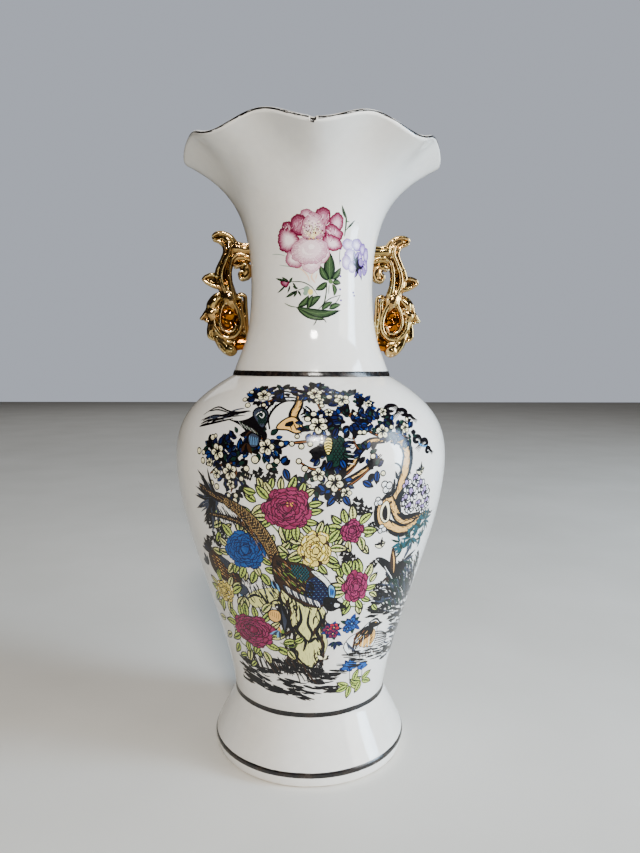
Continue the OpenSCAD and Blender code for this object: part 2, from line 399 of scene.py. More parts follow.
def make_body():
    """The baluster body, open at both ends."""
    outer = line_of(BELLY, 90) + line_of(SHOULDER, 70)[1:]
    inner = line_of(BELLY, 50, -wall)[1:] + line_of(SHOULDER, 50, -wall)[1:]
    inner = [p for p in inner if waist_z + 0.5 < p[1] < shoulder_z - 1]
    loop = outer + [(shoulder_r - wall, shoulder_z)] + inner[::-1] + [(waist_r - wall, waist_z)]

    def shift(i, angle):
        if i >= len(outer):
            return 0, 0
        share = min(1, i / EASE, (len(outer) - 1 - i) / EASE)
        return share * hand_thrown(angle, loop[i][1]), 0

    piece = turned("body_glazed", loop, TURN_STEPS, [GLAZE], None, shift)
    settle(sharpen(piece), "body")


def ruffle(t):
    return 0 if t < ruffle_from else ((t - ruffle_from) / (1 - ruffle_from)) ** 1.7


def ruffle_move(t, angle):
    wave = ruffle(t) * math.cos(lobes * (angle - lobe_turn))
    return Vector((lobe_reach, -lobe_rise)) * wave


def lip_point(turn, extra=0.0):
    """A point of the lip's half circle, from the outside at 0 to the inside at pi."""
    out = cubic_normal(FLARE, 1)
    up = Vector((-out.y, out.x))
    centre = cubic(FLARE, 1) - lip_t / 2 * out
    return centre + (lip_t / 2 + extra) * (math.cos(turn) * out + math.sin(turn) * up)


CHIP_ANGLE = math.radians(-5)      # the chip in the lip, at the front
CHIP_HALF = math.radians(1.5)


def from_chip(angle):
    """How far round the vase from the middle of the chip, to either side."""
    return (angle - CHIP_ANGLE + math.pi) % (2 * math.pi) - math.pi


def make_neck():
    """The neck and its ruffled mouth, with one old chip in the lip."""
    rows = [(0, *p) for p in line_of(NECK, 40)]
    rows += [(t / 60, *cubic(FLARE, t / 60)) for t in range(1, 61)]
    outer_count = len(rows)
    rows += [(1, *lip_point(math.pi * i / LIP_STEPS)) for i in range(1, LIP_STEPS + 1)]
    for i in range(49, 0, -1):
        t = i / 50
        p = cubic(FLARE, t) - (wall + (lip_t - wall) * t) * cubic_normal(FLARE, t)
        rows.append((t, p.x, p.y))
    for i in range(30, 0, -1):
        p = cubic(NECK, i / 30) - wall * cubic_normal(NECK, i / 30)
        rows.append((0, p.x, p.y))
    rows.append((0, shoulder_r - wall, shoulder_z))
    loop = [(r, z) for t, r, z in rows]

    def chip(i, angle):
        """How deep the chip is here, from 0 to 1."""
        across = from_chip(angle)
        over = (i - outer_count - LIP_STEPS * 0.42) / (LIP_STEPS * 0.5)
        ragged = 0.25 * noise.noise(Vector((across * 90, over * 3, 2)))
        return max(0, 1 - (across / CHIP_HALF) ** 2 - over ** 2 + ragged)

    def shift(i, angle):
        move = ruffle_move(rows[i][0], angle)
        wave = 0
        if i < outer_count:
            wave = min(1, i / EASE) * hand_thrown(angle, loop[i][1])
        drop = min(1, 2.5 * chip(i, angle))
        rough = 0.2 * noise.noise(Vector((angle * 200, i * 0.7, 5)))
        return move.x + wave - 0.3 * drop, move.y - drop * (0.85 + rough)

    def slot_of(i, k):
        depth = chip(i + 0.5, 2 * math.pi * (k + 0.5) / NECK_STEPS)
        return 2 if depth > 0.5 else 1 if depth > 0.06 else 0

    piece = turned("neck_glazed", loop, NECK_STEPS, [GLAZE, BISQUE, ENAMEL], slot_of, shift)
    settle(sharpen(piece, 50), "neck")


BAND_COLUMNS = 360
BAND_ROWS = 10
BAND_SWELL = 0.12      # how much thicker a band is in its middle


def band(name, node, row, half, seed, amount):
    """A brushed band round the vase. row(up, angle, swell) is the place that far above the
    band's middle line and that much thicker, and half is about half of its width."""
    points, faces = [], []
    for k in range(BAND_COLUMNS):
        angle = 2 * math.pi * k / BAND_COLUMNS
        for i in range(BAND_ROWS + 1):
            s = -1 + 2 * i / BAND_ROWS
            reach = half + brush_edge(angle, 1 if s > 0 else -1, seed, amount)
            points.append(row(s * reach, angle, BAND_SWELL * (1 - s ** 4)))
    n = BAND_ROWS + 1
    for k in range(BAND_COLUMNS):
        after = (k + 1) % BAND_COLUMNS
        for i in range(BAND_ROWS):
            faces.append((k * n + i, after * n + i, after * n + i + 1, k * n + i + 1))
    settle(add_mesh(name, points, faces, [ENAMEL]), node)


# ---------- the outline as one line up the wall, for what is laid on it ----------

class Outline:
    """Places on the outer wall: x millimetres round it, y millimetres up it from the waist."""

    def __init__(self):
        rows = []
        for curve in (BELLY, SHOULDER, NECK, FLARE):
            for i in range(1 if rows else 0, 81):
                p = cubic(curve, i / 80)
                rows.append((p, cubic_normal(curve, i / 80)))
        self.rows = rows
        self.up = [0.0]
        for (a, _), (b, _) in zip(rows, rows[1:]):
            self.up.append(self.up[-1] + (b - a).length)

    def row(self, y):
        """Radius and height, and the normal there, as ((r, z), (nr, nz))."""
        low_i, high_i = 0, len(self.up) - 1
        while high_i - low_i > 1:
            middle = (low_i + high_i) // 2
            if self.up[middle] <= y:
                low_i = middle
            else:
                high_i = middle
        t = (y - self.up[low_i]) / (self.up[high_i] - self.up[low_i])
        (p, n), (q, m) = self.rows[low_i], self.rows[high_i]
        return p.lerp(q, t), n.lerp(m, t).normalized()

    def height(self, z):
        """How far up the outline the height z is."""
        for i in range(1, len(self.rows)):
            a, b = self.rows[i - 1][0].y, self.rows[i][0].y
            if b >= z:
                return self.up[i - 1] + (self.up[i] - self.up[i - 1]) * (z - a) / (b - a)
        return self.up[-1]

    def place(self, x, y, lift):
        """The point lifted off the wall there, and the wall's normal."""
        (r, z), (nr, nz) = self.row(y)
        angle = PRINT_TURN + x / r
        off = lift + hand_thrown(angle, z)
        return round_place(r + nr * off, angle, z + nz * lift), round_place(nr, angle, nz)


WALL = Outline()


def brush_edge(angle, side, seed, amount):
    """A hand-brushed edge wanders a little round the vase."""
    at = Vector((math.sin(angle) * 3, math.cos(angle) * 3, seed + side))
    fine = Vector((math.sin(angle) * 22, math.cos(angle) * 22, seed + side))
    return amount * (noise.noise(at) + 0.35 * noise.noise(fine))


def foot_place(z, angle, lift):
    """The point lifted off the foot's wall at the height z."""
    t_low, t_high = 0.0, 1.0
    curve = FOOT if z > foot_wide_z else FOOT_EDGE
    for _ in range(20):
        t = (t_low + t_high) / 2
        if cubic(curve, t).y < z:
            t_low = t
        else:
            t_high = t
    p, n = cubic(curve, t), cubic_normal(curve, t)
    off = lift + hand_thrown(angle, z)
    return round_place(p.x + n.x * off, angle, z + n.y * lift)


FOOT_BAND_LIFT = 0.05
WAIST_BAND_LIFT = 0.1
SHOULDER_BAND_LIFT = 0.18
SHOULDER_BAND_UP = 1.3      # how far the band's middle is above the crease


def make_bands():
    middle = (low("foot_band").z + high("foot_band").z) / 2
    shoulder_up = WALL.height(shoulder_z) + SHOULDER_BAND_UP

    def foot_row(s, angle, swell):
        return foot_place(middle + s, angle, FOOT_BAND_LIFT + swell)

    def waist_row(s, angle, swell):
        if s < 0:
            return foot_place(waist_z + s, angle, WAIST_BAND_LIFT + swell)
        (r, z), (nr, nz) = WALL.row(s)
        return round_place(r + nr * (WAIST_BAND_LIFT + swell), angle, z + nz * swell)

    def shoulder_row(s, angle, swell):
        (r, z), (nr, nz) = WALL.row(shoulder_up + s)
        return round_place(r + nr * (SHOULDER_BAND_LIFT + swell), angle, z + nz * swell)

    band("foot_band_enamel", "foot_band", foot_row, 1.25, 1, 0.22)
    band("waist_band_enamel", "waist_band", waist_row, 1.2, 2, 0.2)
    band("shoulder_band_enamel", "shoulder_band", shoulder_row, 1.3, 3, 0.16)


def make_rim_line():
    """The dark line brushed on the lip, worn away in places."""
    columns, across = 720, 6
    points, faces = [], []
    for k in range(columns):
        angle = 2 * math.pi * k / columns
        wander = 0.3 * noise.noise(Vector((math.sin(angle) * 5, math.cos(angle) * 5, 4)))
        for i in range(across + 1):
            s = -1 + 2 * i / across
            half = 0.11 + 0.08 * noise.noise(Vector((math.sin(angle) * 9, math.cos(angle) * 9, 1)))
            turn = math.pi * (0.44 + 0.1 * wander + half * s)
            p = lip_point(turn, 0.02 + 0.05 * (1 - s * s)) + ruffle_move(1, angle)
            points.append(round_place(p.x, angle, p.y))
    n = across + 1
    for k in range(columns):
        angle = 2 * math.pi * k / columns
        if abs(from_chip(angle)) < CHIP_HALF * 1.15:
            continue
        for i in range(across):
            ring = Vector((math.sin(angle) * 16, math.cos(angle) * 16, i * 0.9))
            if noise.noise(ring) + 0.5 * noise.noise(ring * 3) > 0.42:
                continue
            after = (k + 1) % columns
            faces.append((k * n + i, k * n + i + 1, after * n + i + 1, after * n + i))
    used = sorted({i for face in faces for i in face})
    place_of = {i: k for k, i in enumerate(used)}
    faces = [tuple(place_of[i] for i in face) for face in faces]
    piece = add_mesh("rim_line_enamel", [points[i] for i in used], faces, [ENAMEL])
    settle(piece, "rim_line")


# ---------- handles ----------

# A strand is [depth as a share of its radius, how far in front of and behind the middle plane
# its two copies lie, points], both before HANDLE_DEPTH scales them. Its points are (out from
# the axis, up, radius).
STRANDS = [
    # leaf curl at the top and the back of the stem, with its raised edges
    [1.0, 0, [(48.6, 56.2, 1.2), (46.2, 56.4, 2.1), (43, 55.8, 2.8), (40.6, 52.8, 3.0),
              (40.8, 49.4, 2.7), (42.8, 45.4, 2.6), (45.2, 41, 2.6), (45.8, 36.4, 2.6),
              (44.2, 31.4, 2.6), (42, 27, 2.8)]],
    [1.2, 1.9, [(49.1, 56.9, 0.7), (47.4, 58.1, 1.0), (44.2, 58.3, 1.1), (41, 57.0, 1.2),
                (38.6, 54.2, 1.2), (38.2, 51, 0.9)]],
    [1.2, 1.9, [(48.7, 55.3, 0.7), (46, 54.4, 0.9), (44, 52.6, 1.0), (43.4, 49.4, 1.0),
                (44.9, 45.4, 1.0), (47, 41, 1.0), (47.6, 37.6, 0.9)]],
    [1.2, 2.6, [(41.6, 53, 0.8), (41.2, 49.6, 1.0), (42.9, 45.4, 1.0), (44.7, 41, 1.0),
                (45.3, 37, 1.1), (44.6, 33.4, 1.0), (43.2, 29.8, 0.8)]],
    # inner strand, from the neck over the gap and down to the knuckle
    [1.1, 0, [(31.5, 46.2, 1.6), (35.6, 47.2, 1.8), (38.8, 46.2, 1.9), (41, 42.8, 1.8),
              (41.7, 38.6, 1.8), (41.2, 33.6, 2.0), (40.2, 29, 2.6)]],
    [1.2, 1.9, [(31.8, 47.4, 0.8), (35.6, 48.4, 0.9), (38.6, 47.4, 1.0), (40.6, 44, 1.0),
                (41.3, 39, 1.0), (41, 34, 1.1), (40, 29.6, 1.2)]],
    # roll against the neck
    [1.3, 0, [(38.4, 43.6, 1.2), (35.6, 43.6, 2.2), (33, 41.6, 3.1), (33, 38.6, 2.8),
              (34.6, 37.4, 2.2)]],
    [1.2, 2.7, [(38.4, 42.2, 0.6), (36, 42.8, 0.8), (33.4, 43.4, 1.0), (31.6, 40.6, 1.0),
                (32.6, 37.4, 0.9), (35.2, 36.6, 0.8), (36.4, 38.6, 0.7), (35, 40.2, 0.6),
                (34, 39.2, 0.6)]],
    # bracket on the neck
    [1.25, 0, [(29.5, 51.0, 3.3), (33.6, 50.9, 2.9), (37.6, 51.3, 3.1)]],
    [1.2, 2.2, [(30, 53.4, 0.9), (33.6, 52.9, 0.9), (37, 53.5, 1.0)]],
    [1.1, 0, [(31, 48.4, 1.5), (36, 49, 1.5)]],
    # spur leaf: a web between two lips
    [0.5, 0, [(45.4, 34.4, 2.6), (49.6, 35.6, 2.0), (52.6, 35.8, 1.3)]],
    [1.2, 1.3, [(45.8, 37.4, 1.2), (49.4, 38.2, 1.1), (52.6, 37.4, 1.0), (54, 36, 0.9)]],
    [1.2, 1.3, [(45.8, 32.2, 1.2), (49.2, 33, 1.1), (52.2, 34.4, 1.0), (54, 35.8, 0.8)]],
    # knuckle where the strands meet
    [1.0, 0, [(43, 31, 3.0), (41, 26.6, 4.2), (39, 23.4, 2.8)]],
    [1.25, 0, [(41.6, 28.6, 2.4), (40.6, 25.4, 3.3), (38.8, 22.4, 2.0)]],
    # acanthus leaf, its swellings and edges
    [0.7, 0, [(45, 27.4, 2.4), (48.4, 24.8, 2.9), (49.8, 21, 3.3), (52.2, 18, 2.3),
              (55, 16.6, 0.9)]],
    [1.1, 1.4, [(46.8, 26.8, 1.6), (49, 24.8, 2.2), (49.6, 22.8, 1.8)]],
    [1.0, 1.4, [(48.2, 20.8, 1.8), (50.2, 19.4, 2.4), (49.4, 17.4, 1.9)]],
    [1.2, 0.9, [(45.6, 29.2, 0.9), (48.8, 27.8, 1.0), (51.2, 24.6, 1.1), (52.2, 21.4, 0.9),
                (53.4, 19.2, 1.0), (55.4, 16.6, 0.7)]],
    [1.2, 0.9, [(52.8, 15.8, 0.9), (50.6, 15.2, 0.8)]],
    [0.9, 0, [(49.2, 17.6, 2.8), (49.8, 13, 2.5), (50, 9.2, 2.1)]],
    [1.2, 1.1, [(51.2, 14.6, 0.8), (51.5, 11, 1.1), (51.2, 8, 1.0), (49.4, 6.6, 0.9)]],
    # C-scroll round the eye, and the rim of the eye
    [1.0, 0, [(39.4, 24, 1.9), (36.9, 19.4, 1.8), (35.9, 14.4, 1.8), (37.4, 10, 1.8),
              (41, 7.8, 1.9), (45.4, 8.6, 2.0), (48.2, 12.4, 1.9), (48.8, 16.4, 1.8),
              (46.4, 21.6, 1.8), (43.8, 25, 1.8)]],
    [1.2, 1.9, [(39, 24.6, 1.2), (36.7, 19.8, 1.2), (35.8, 14.4, 1.2), (37.3, 9.8, 1.2),
                (41, 7.4, 1.2), (45.4, 8.4, 1.2), (48.4, 12.4, 1.2), (49, 15.8, 0.9)]],
    [1.2, 1.8, [(44.9, 28.4, 0.6), (43.9, 24.8, 0.9), (45.4, 21, 0.8), (46.2, 16.6, 0.8),
                (45.4, 12.6, 0.8), (42.6, 10.4, 0.8), (39.6, 10.8, 0.8), (38.2, 13.6, 0.7)]],
    # stalk, ball and the foot on the neck
    [1.0, 0, [(47.6, 10, 2.6), (45.4, 5.4, 3.0), (42.6, 2.2, 3.2), (40.9, 1.4, 3.2),
              (40.5, 1.2, 3.1)]],
    [1.2, 0, [(41.2, 1.6, 3.4), (40.8, 1.4, 3.4)]],
    [1.2, 2.1, [(43.8, 7, 0.8), (42, 5.4, 0.9), (40.2, 5.4, 0.8)]],
    [1.2, 1.8, [(47.6, 7.6, 0.9), (45.6, 2.8, 1.0), (43.4, 0.2, 0.9)]],
    [0.55, 0, [(40, 3.4, 2.6), (36.4, 4.2, 2.9), (32.4, 4.6, 2.6)]],
    [0.5, 0, [(41, 6, 2.0), (37.4, 6.6, 2.2), (34, 8, 2.2)]],
    # small leaf between the scroll and the neck
    [0.55, 0, [(36.6, 25, 1.5), (35.2, 20, 2.0), (34.6, 14, 2.0), (35, 7.4, 2.0)]],
    [1.2, 0, [(37.2, 28.4, 0.9), (35.6, 28.9, 1.1), (33.6, 27.8, 1.1), (33.4, 22, 1.3),
              (33, 14, 1.3), (33.2, 7, 1.2)]],
    [1.2, 1.4, [(37, 27.6, 0.8), (35.7, 26.4, 0.9), (35.3, 21, 0.9), (34.3, 15, 0.9),
                (33.9, 10.6, 0.8)]],
]

# Before smoothing, the deepest strand reaches as far to the front as the handle does in the frame
HANDLE_DEPTH = high("handle_left").y / max(offset + depth * radius
                                           for depth, offset, line in STRANDS
                                           for _, _, radius in line)
SUNK = 1.6      # how far inside the neck's outline, or its waist where it flares, a handle reaches
FOOT_UP = 1.9      # how far the strands' zero is above the handle's lowest point

# The pear-shaped hollow: its middle (out from the axis, up), its half width, how much taller
# than wide it is, and half the thickness of the plate that closes it
EYE = (41.6, 16.6)
EYE_R = 6.1
EYE_TALL = 1.15
EYE_PLATE = 0.9

# Where the gold is lumpy and where it is amber, the amber being painted shade of the concave
# # hollow: half widths in the hollow, then the amber web's middle, its half width and how much
# # taller than wide it is
EYE_LUMPS = 4.2
EYE_PAINTED_SHADE = 5.2
WEB = (35.6, 4.2)
WEB_PAINTED_SHADE = 3.4
WEB_TALL = 1.3

VOXEL = 0.25      # cell size of the remesh
AROUND = 14      # points round a strand


def strand_mesh(points, faces, line, depth, offset):
    """Adds a closed tube with round ends, its width following the points' radii."""
    path = spline(line, 5)
    ends = []
    for end, step in ((path[0], path[0] - path[1]), (path[-1], path[-1] - path[-2])):
        way = Vector((step[0], step[1], 0)).normalized()
        ends.append([(end[0] + way.x * end[2] * s, end[1] + way.y * end[2] * s,
                      end[2] * math.sqrt(1 - s * s)) for s in (0.35, 0.65, 0.86, 0.985)])
    rings = ends[0][::-1] + [tuple(p) for p in path] + ends[1]
    first = len(points)
    for i, (out, up, radius) in enumerate(rings):
        a, b = rings[max(i - 1, 0)], rings[min(i + 1, len(rings) - 1)]
        way = Vector((b[0] - a[0], b[1] - a[1])).normalized()
        for k in range(AROUND):
            turn = 2 * math.pi * k / AROUND
            across = radius * math.cos(turn)
            points.append((out - way.y * across,
                           HANDLE_DEPTH * (offset + radius * depth * math.sin(turn)),
                           up + way.x * across))
    for i in range(len(rings) - 1):
        for k in range(AROUND):
            j = (k + 1) % AROUND
            a, b = first + i * AROUND, first + (i + 1) * AROUND
            faces.append((a + k, a + j, b + j, b + k))
    last = first + (len(rings) - 1) * AROUND
    faces.append(tuple(first + k for k in range(AROUND))[::-1])
    faces.append(tuple(last + k for k in range(AROUND)))


def disc_mesh(points, faces, count=24):
    """Adds the thin plate that closes the hollow in the middle plane."""
    first = len(points)
    for y in (-EYE_PLATE, EYE_PLATE):
        points += [(EYE[0] + EYE_R * math.cos(2 * math.pi * k / count), y,
                    EYE[1] + EYE_R * EYE_TALL * math.sin(2 * math.pi * k / count))
                   for k in range(count)]
    faces += [(first + k, first + (k + 1) % count, first + count + (k + 1) % count,
               first + count + k) for k in range(count)]
    faces += [tuple(first + k for k in range(count))[::-1],
              tuple(first + count + k for k in range(count))]


def drop_voids(mesh):
    """Keeps the largest connected part: the remesh leaves tiny closed voids inside the cast."""
    made = bmesh.new()
    made.from_mesh(mesh)
    left, parts = set(made.verts), []
    while left:
        part, edge = set(), [left.pop()]
        while edge:
            vertex = edge.pop()
            part.add(vertex)
            for side in vertex.link_edges:
                other = side.other_vert(vertex)
                if other in left:
                    left.remove(other)
                    edge.append(other)
        parts.append(part)
    parts.sort(key=len)
    bmesh.ops.delete(made, geom=[v for part in parts[:-1] for v in part], context="VERTS")
    made.to_mesh(mesh)
    made.free()


def make_handle(name, node, mirror):
    """Cast scrollwork: overlapping strands fused by a voxel remesh and then smoothed."""
    foot = low(node).z + FOOT_UP
    hand = -1 if mirror else 1
    points, faces = [], []
    for depth, offset, line in STRANDS:
        for side in ((1, -1) if offset else (1,)):
            strand_mesh(points, faces, line, depth, offset * side)
    disc_mesh(points, faces)
    points = [(hand * x, y, z + foot) for x, y, z in points]
    if mirror:
        faces = [face[::-1] for face in faces]
    piece = add_mesh(name, points, faces, [GOLD, GOLD_PAINTED_SHADE])
    for kind, settings in (("REMESH", {"mode": "VOXEL", "voxel_size": VOXEL * MM}),
                           ("SMOOTH", {"factor": 0.5, "iterations": 6})):
        modifier = piece.modifiers.new(kind.lower(), kind)
        for key, value in settings.items():
            setattr(modifier, key, value)
    graph = bpy.context.evaluated_depsgraph_get()
    mesh = bpy.data.meshes.new_from_object(piece.evaluated_get(graph))
    piece.modifiers.clear()
    piece.data = mesh
    drop_voids(mesh)
    count = len(mesh.vertices)
    normals = np.zeros(count * 3)
    places = np.zeros(count * 3)
    mesh.vertices.foreach_get("normal", normals)
    mesh.vertices.foreach_get("co", places)
    places = places.reshape(-1, 3) / MM

    def wave(place):
        """Cast by hand: the surface waves a little, and more in the hollow."""
        x, y, z = place
        soft = 0.12 * noise.noise(Vector(place) * 0.42 + Vector((hand, 2, 3)))
        soft += 0.04 * noise.noise(Vector(place) * 1.3)
        in_hollow = math.hypot(abs(x) - EYE[0], (z - foot - EYE[1]) / EYE_TALL) < EYE_LUMPS
        lump = 0.7 if in_hollow and abs(y) < 1.6 else 0
        return soft + lump * noise.noise(Vector(place) * 0.4)

    places += normals.reshape(-1, 3) * np.array([wave(p) for p in places])[:, None]
    # Nothing reaches through the neck's wall
    side = [cubic(NECK, t / 40) for t in range(41)]
    inmost = np.interp(places[:, 2], [p.y for p in side], [p.x for p in side]) - SUNK
    radius = np.hypot(places[:, 0], places[:, 1])
    places[:, :2] *= np.maximum(1, inmost / radius)[:, None]
    mesh.vertices.foreach_set("co", (places * MM).ravel())
    middles = np.zeros(len(mesh.polygons) * 3)
    mesh.polygons.foreach_get("center", middles)
    x, y, z = (middles.reshape(-1, 3) / MM).T
    # Amber gold in the hollow and in the web above the handle's foot: painted shade of concave gold
    in_eye = np.hypot(x * hand - EYE[0], (z - foot - EYE[1]) / EYE_TALL) < EYE_PAINTED_SHADE
    in_web = np.hypot(x * hand - WEB[0], (z - foot - WEB[1]) / WEB_TALL) < WEB_PAINTED_SHADE
    painted_shading = (in_eye & (abs(y) < 1.7)) | (in_web & (abs(y) < 1.9))
    mesh.polygons.foreach_set("material_index", painted_shading.astype(int))
    mesh.polygons.foreach_set("use_smooth", [True] * len(mesh.polygons))
    mesh.update()
    settle(piece, node)


# ---------- inks ----------

INK_COLORS = {
    "black": (12, 10, 13), "navy": (14, 22, 62), "royal": (16, 46, 112), "blue": (16, 74, 146),
    "sky": (104, 164, 216), "slate": (52, 58, 74), "cream": (246, 238, 196),
    "chalk": (240, 240, 238), "butter": (238, 214, 108), "gold": (226, 164, 58),
    "lime": (180, 198, 92), "moss": (104, 134, 50), "bottle": (18, 44, 36),
    "teal": (14, 72, 82), "tan": (230, 178, 98), "sienna": (128, 76, 36), "khaki": (166, 134, 82),
    "umber": (48, 30, 18), "rose": (122, 24, 64), "wine": (46, 8, 28), "pink": (146, 42, 88),
    "straw": (222, 220, 140), "lemon": (240, 214, 84), "cobalt": (24, 86, 160),
    "red": (178, 34, 54), "lilac": (166, 138, 200), "violet": (78, 44, 128),
    "sage": (130, 154, 132), "peach": (240, 196, 160),
}


def make_ink(name, color):
    """A fired enamel colour: glossy, with a faint grain from the printing."""
    shader = Shader("ink_" + name, srgb(*color), 0.16, Specular_IOR_Level=0.3)
    shader.link(shader.spread(shader.noise(1.3, 4), 0.3, 0.7, 0.1, 0.24), "Roughness")
    return shader.material


INKS = {name: make_ink(name, color) for name, color in INK_COLORS.items()}


# ---------- drawing ----------

def turned_by(point, angle):
    c, s = math.cos(angle), math.sin(angle)
    return Vector((point[0] * c - point[1] * s, point[0] * s + point[1] * c))


def away(base, length, angle):
    """The point that far from the base in that direction."""
    return Vector(base) + turned_by((length, 0), angle)


def grow(points, margin):
    """The outline moved outwards by a margin, for the dark line round a shape."""
    count = len(points)
    area = sum(points[i - 1].x * points[i].y - points[i].x * points[i - 1].y
               for i in range(count))
    side = 1 if area > 0 else -1
    grown = []
    for i in range(count):
        way = points[(i + 1) % count] - points[i - 1]
        if way.length < 1e-9:
            grown.append(points[i])
            continue
        grown.append(points[i] + side * margin * Vector((way.y, -way.x)) / way.length)
    return grown


def oval(x, y, rx, ry, turn=0.0, count=14):
    angles = [2 * math.pi * k / count for k in range(count)]
    return [Vector((x, y)) + turned_by((rx * math.cos(a), ry * math.sin(a)), turn)
            for a in angles]


def blade(base, tip, width, bend=0.0, steps=7):
    """The outline of a leaf or feather from its base to its tip."""
    base, tip = Vector(base), Vector(tip)
    way = tip - base
    side = Vector((-way.y, way.x)) / way.length
    left, right = [], []
    for i in range(1, steps):
        t = i / steps
        middle = base + way * t + side * bend * 4 * t * (1 - t)
        half = width / 2 * math.sin(math.pi * t ** 0.85) ** 0.8
        left.append(middle + side * half)
        right.append(middle - side * half)
    return [base] + right + [tip] + left[::-1]


def ribbon(points, width, ends=0.0, steps=4):
    """A brush line through the points: full width in the middle, ends is its share there."""
    line = spline(points, steps)
    last = len(line) - 1
    left, right = [], []
    for i, p in enumerate(line):
        way = line[min(i + 1, last)] - line[max(i - 1, 0)]
        side = Vector((-way.y, way.x)).normalized()
        swell = math.sin(math.pi * min(max(i / last, 0.02), 0.98)) ** 0.6
        half = width / 2 * (ends + (1 - ends) * swell)
        left.append(p + side * half)
        right.append(p - side * half)
    return left + right[::-1]


def along(points, spacing):
    """Places at even spacing along the smooth line: (point, direction, share of the way)."""
    line = spline(points, 8)
    lengths = [(b - a).length for a, b in zip(line, line[1:])]
    total = sum(lengths)
    count = max(1, round(total / spacing))
    places, i, done = [], 0, 0.0
    for k in range(count + 1):
        want = total * k / count
        while i < len(lengths) - 1 and done + lengths[i] < want:
            done += lengths[i]
            i += 1
        way = (line[i + 1] - line[i]).normalized()
        places.append((line[i] + way * (want - done), way, k / count))
    return places


def inside(point, outline):
    x, y = point
    hit = False
    for i in range(len(outline)):
        a, b = outline[i - 1], outline[i]
        if (a[1] > y) != (b[1] > y) and x < (b[0] - a[0]) * (y - a[1]) / (b[1] - a[1]) + a[0]:
            hit = not hit
    return hit


PRINT_LIFT = 0.07      # how far a print lies above the glaze
PRINT_GRID = 2.4      # spacing of the extra points that let it bend round the wall


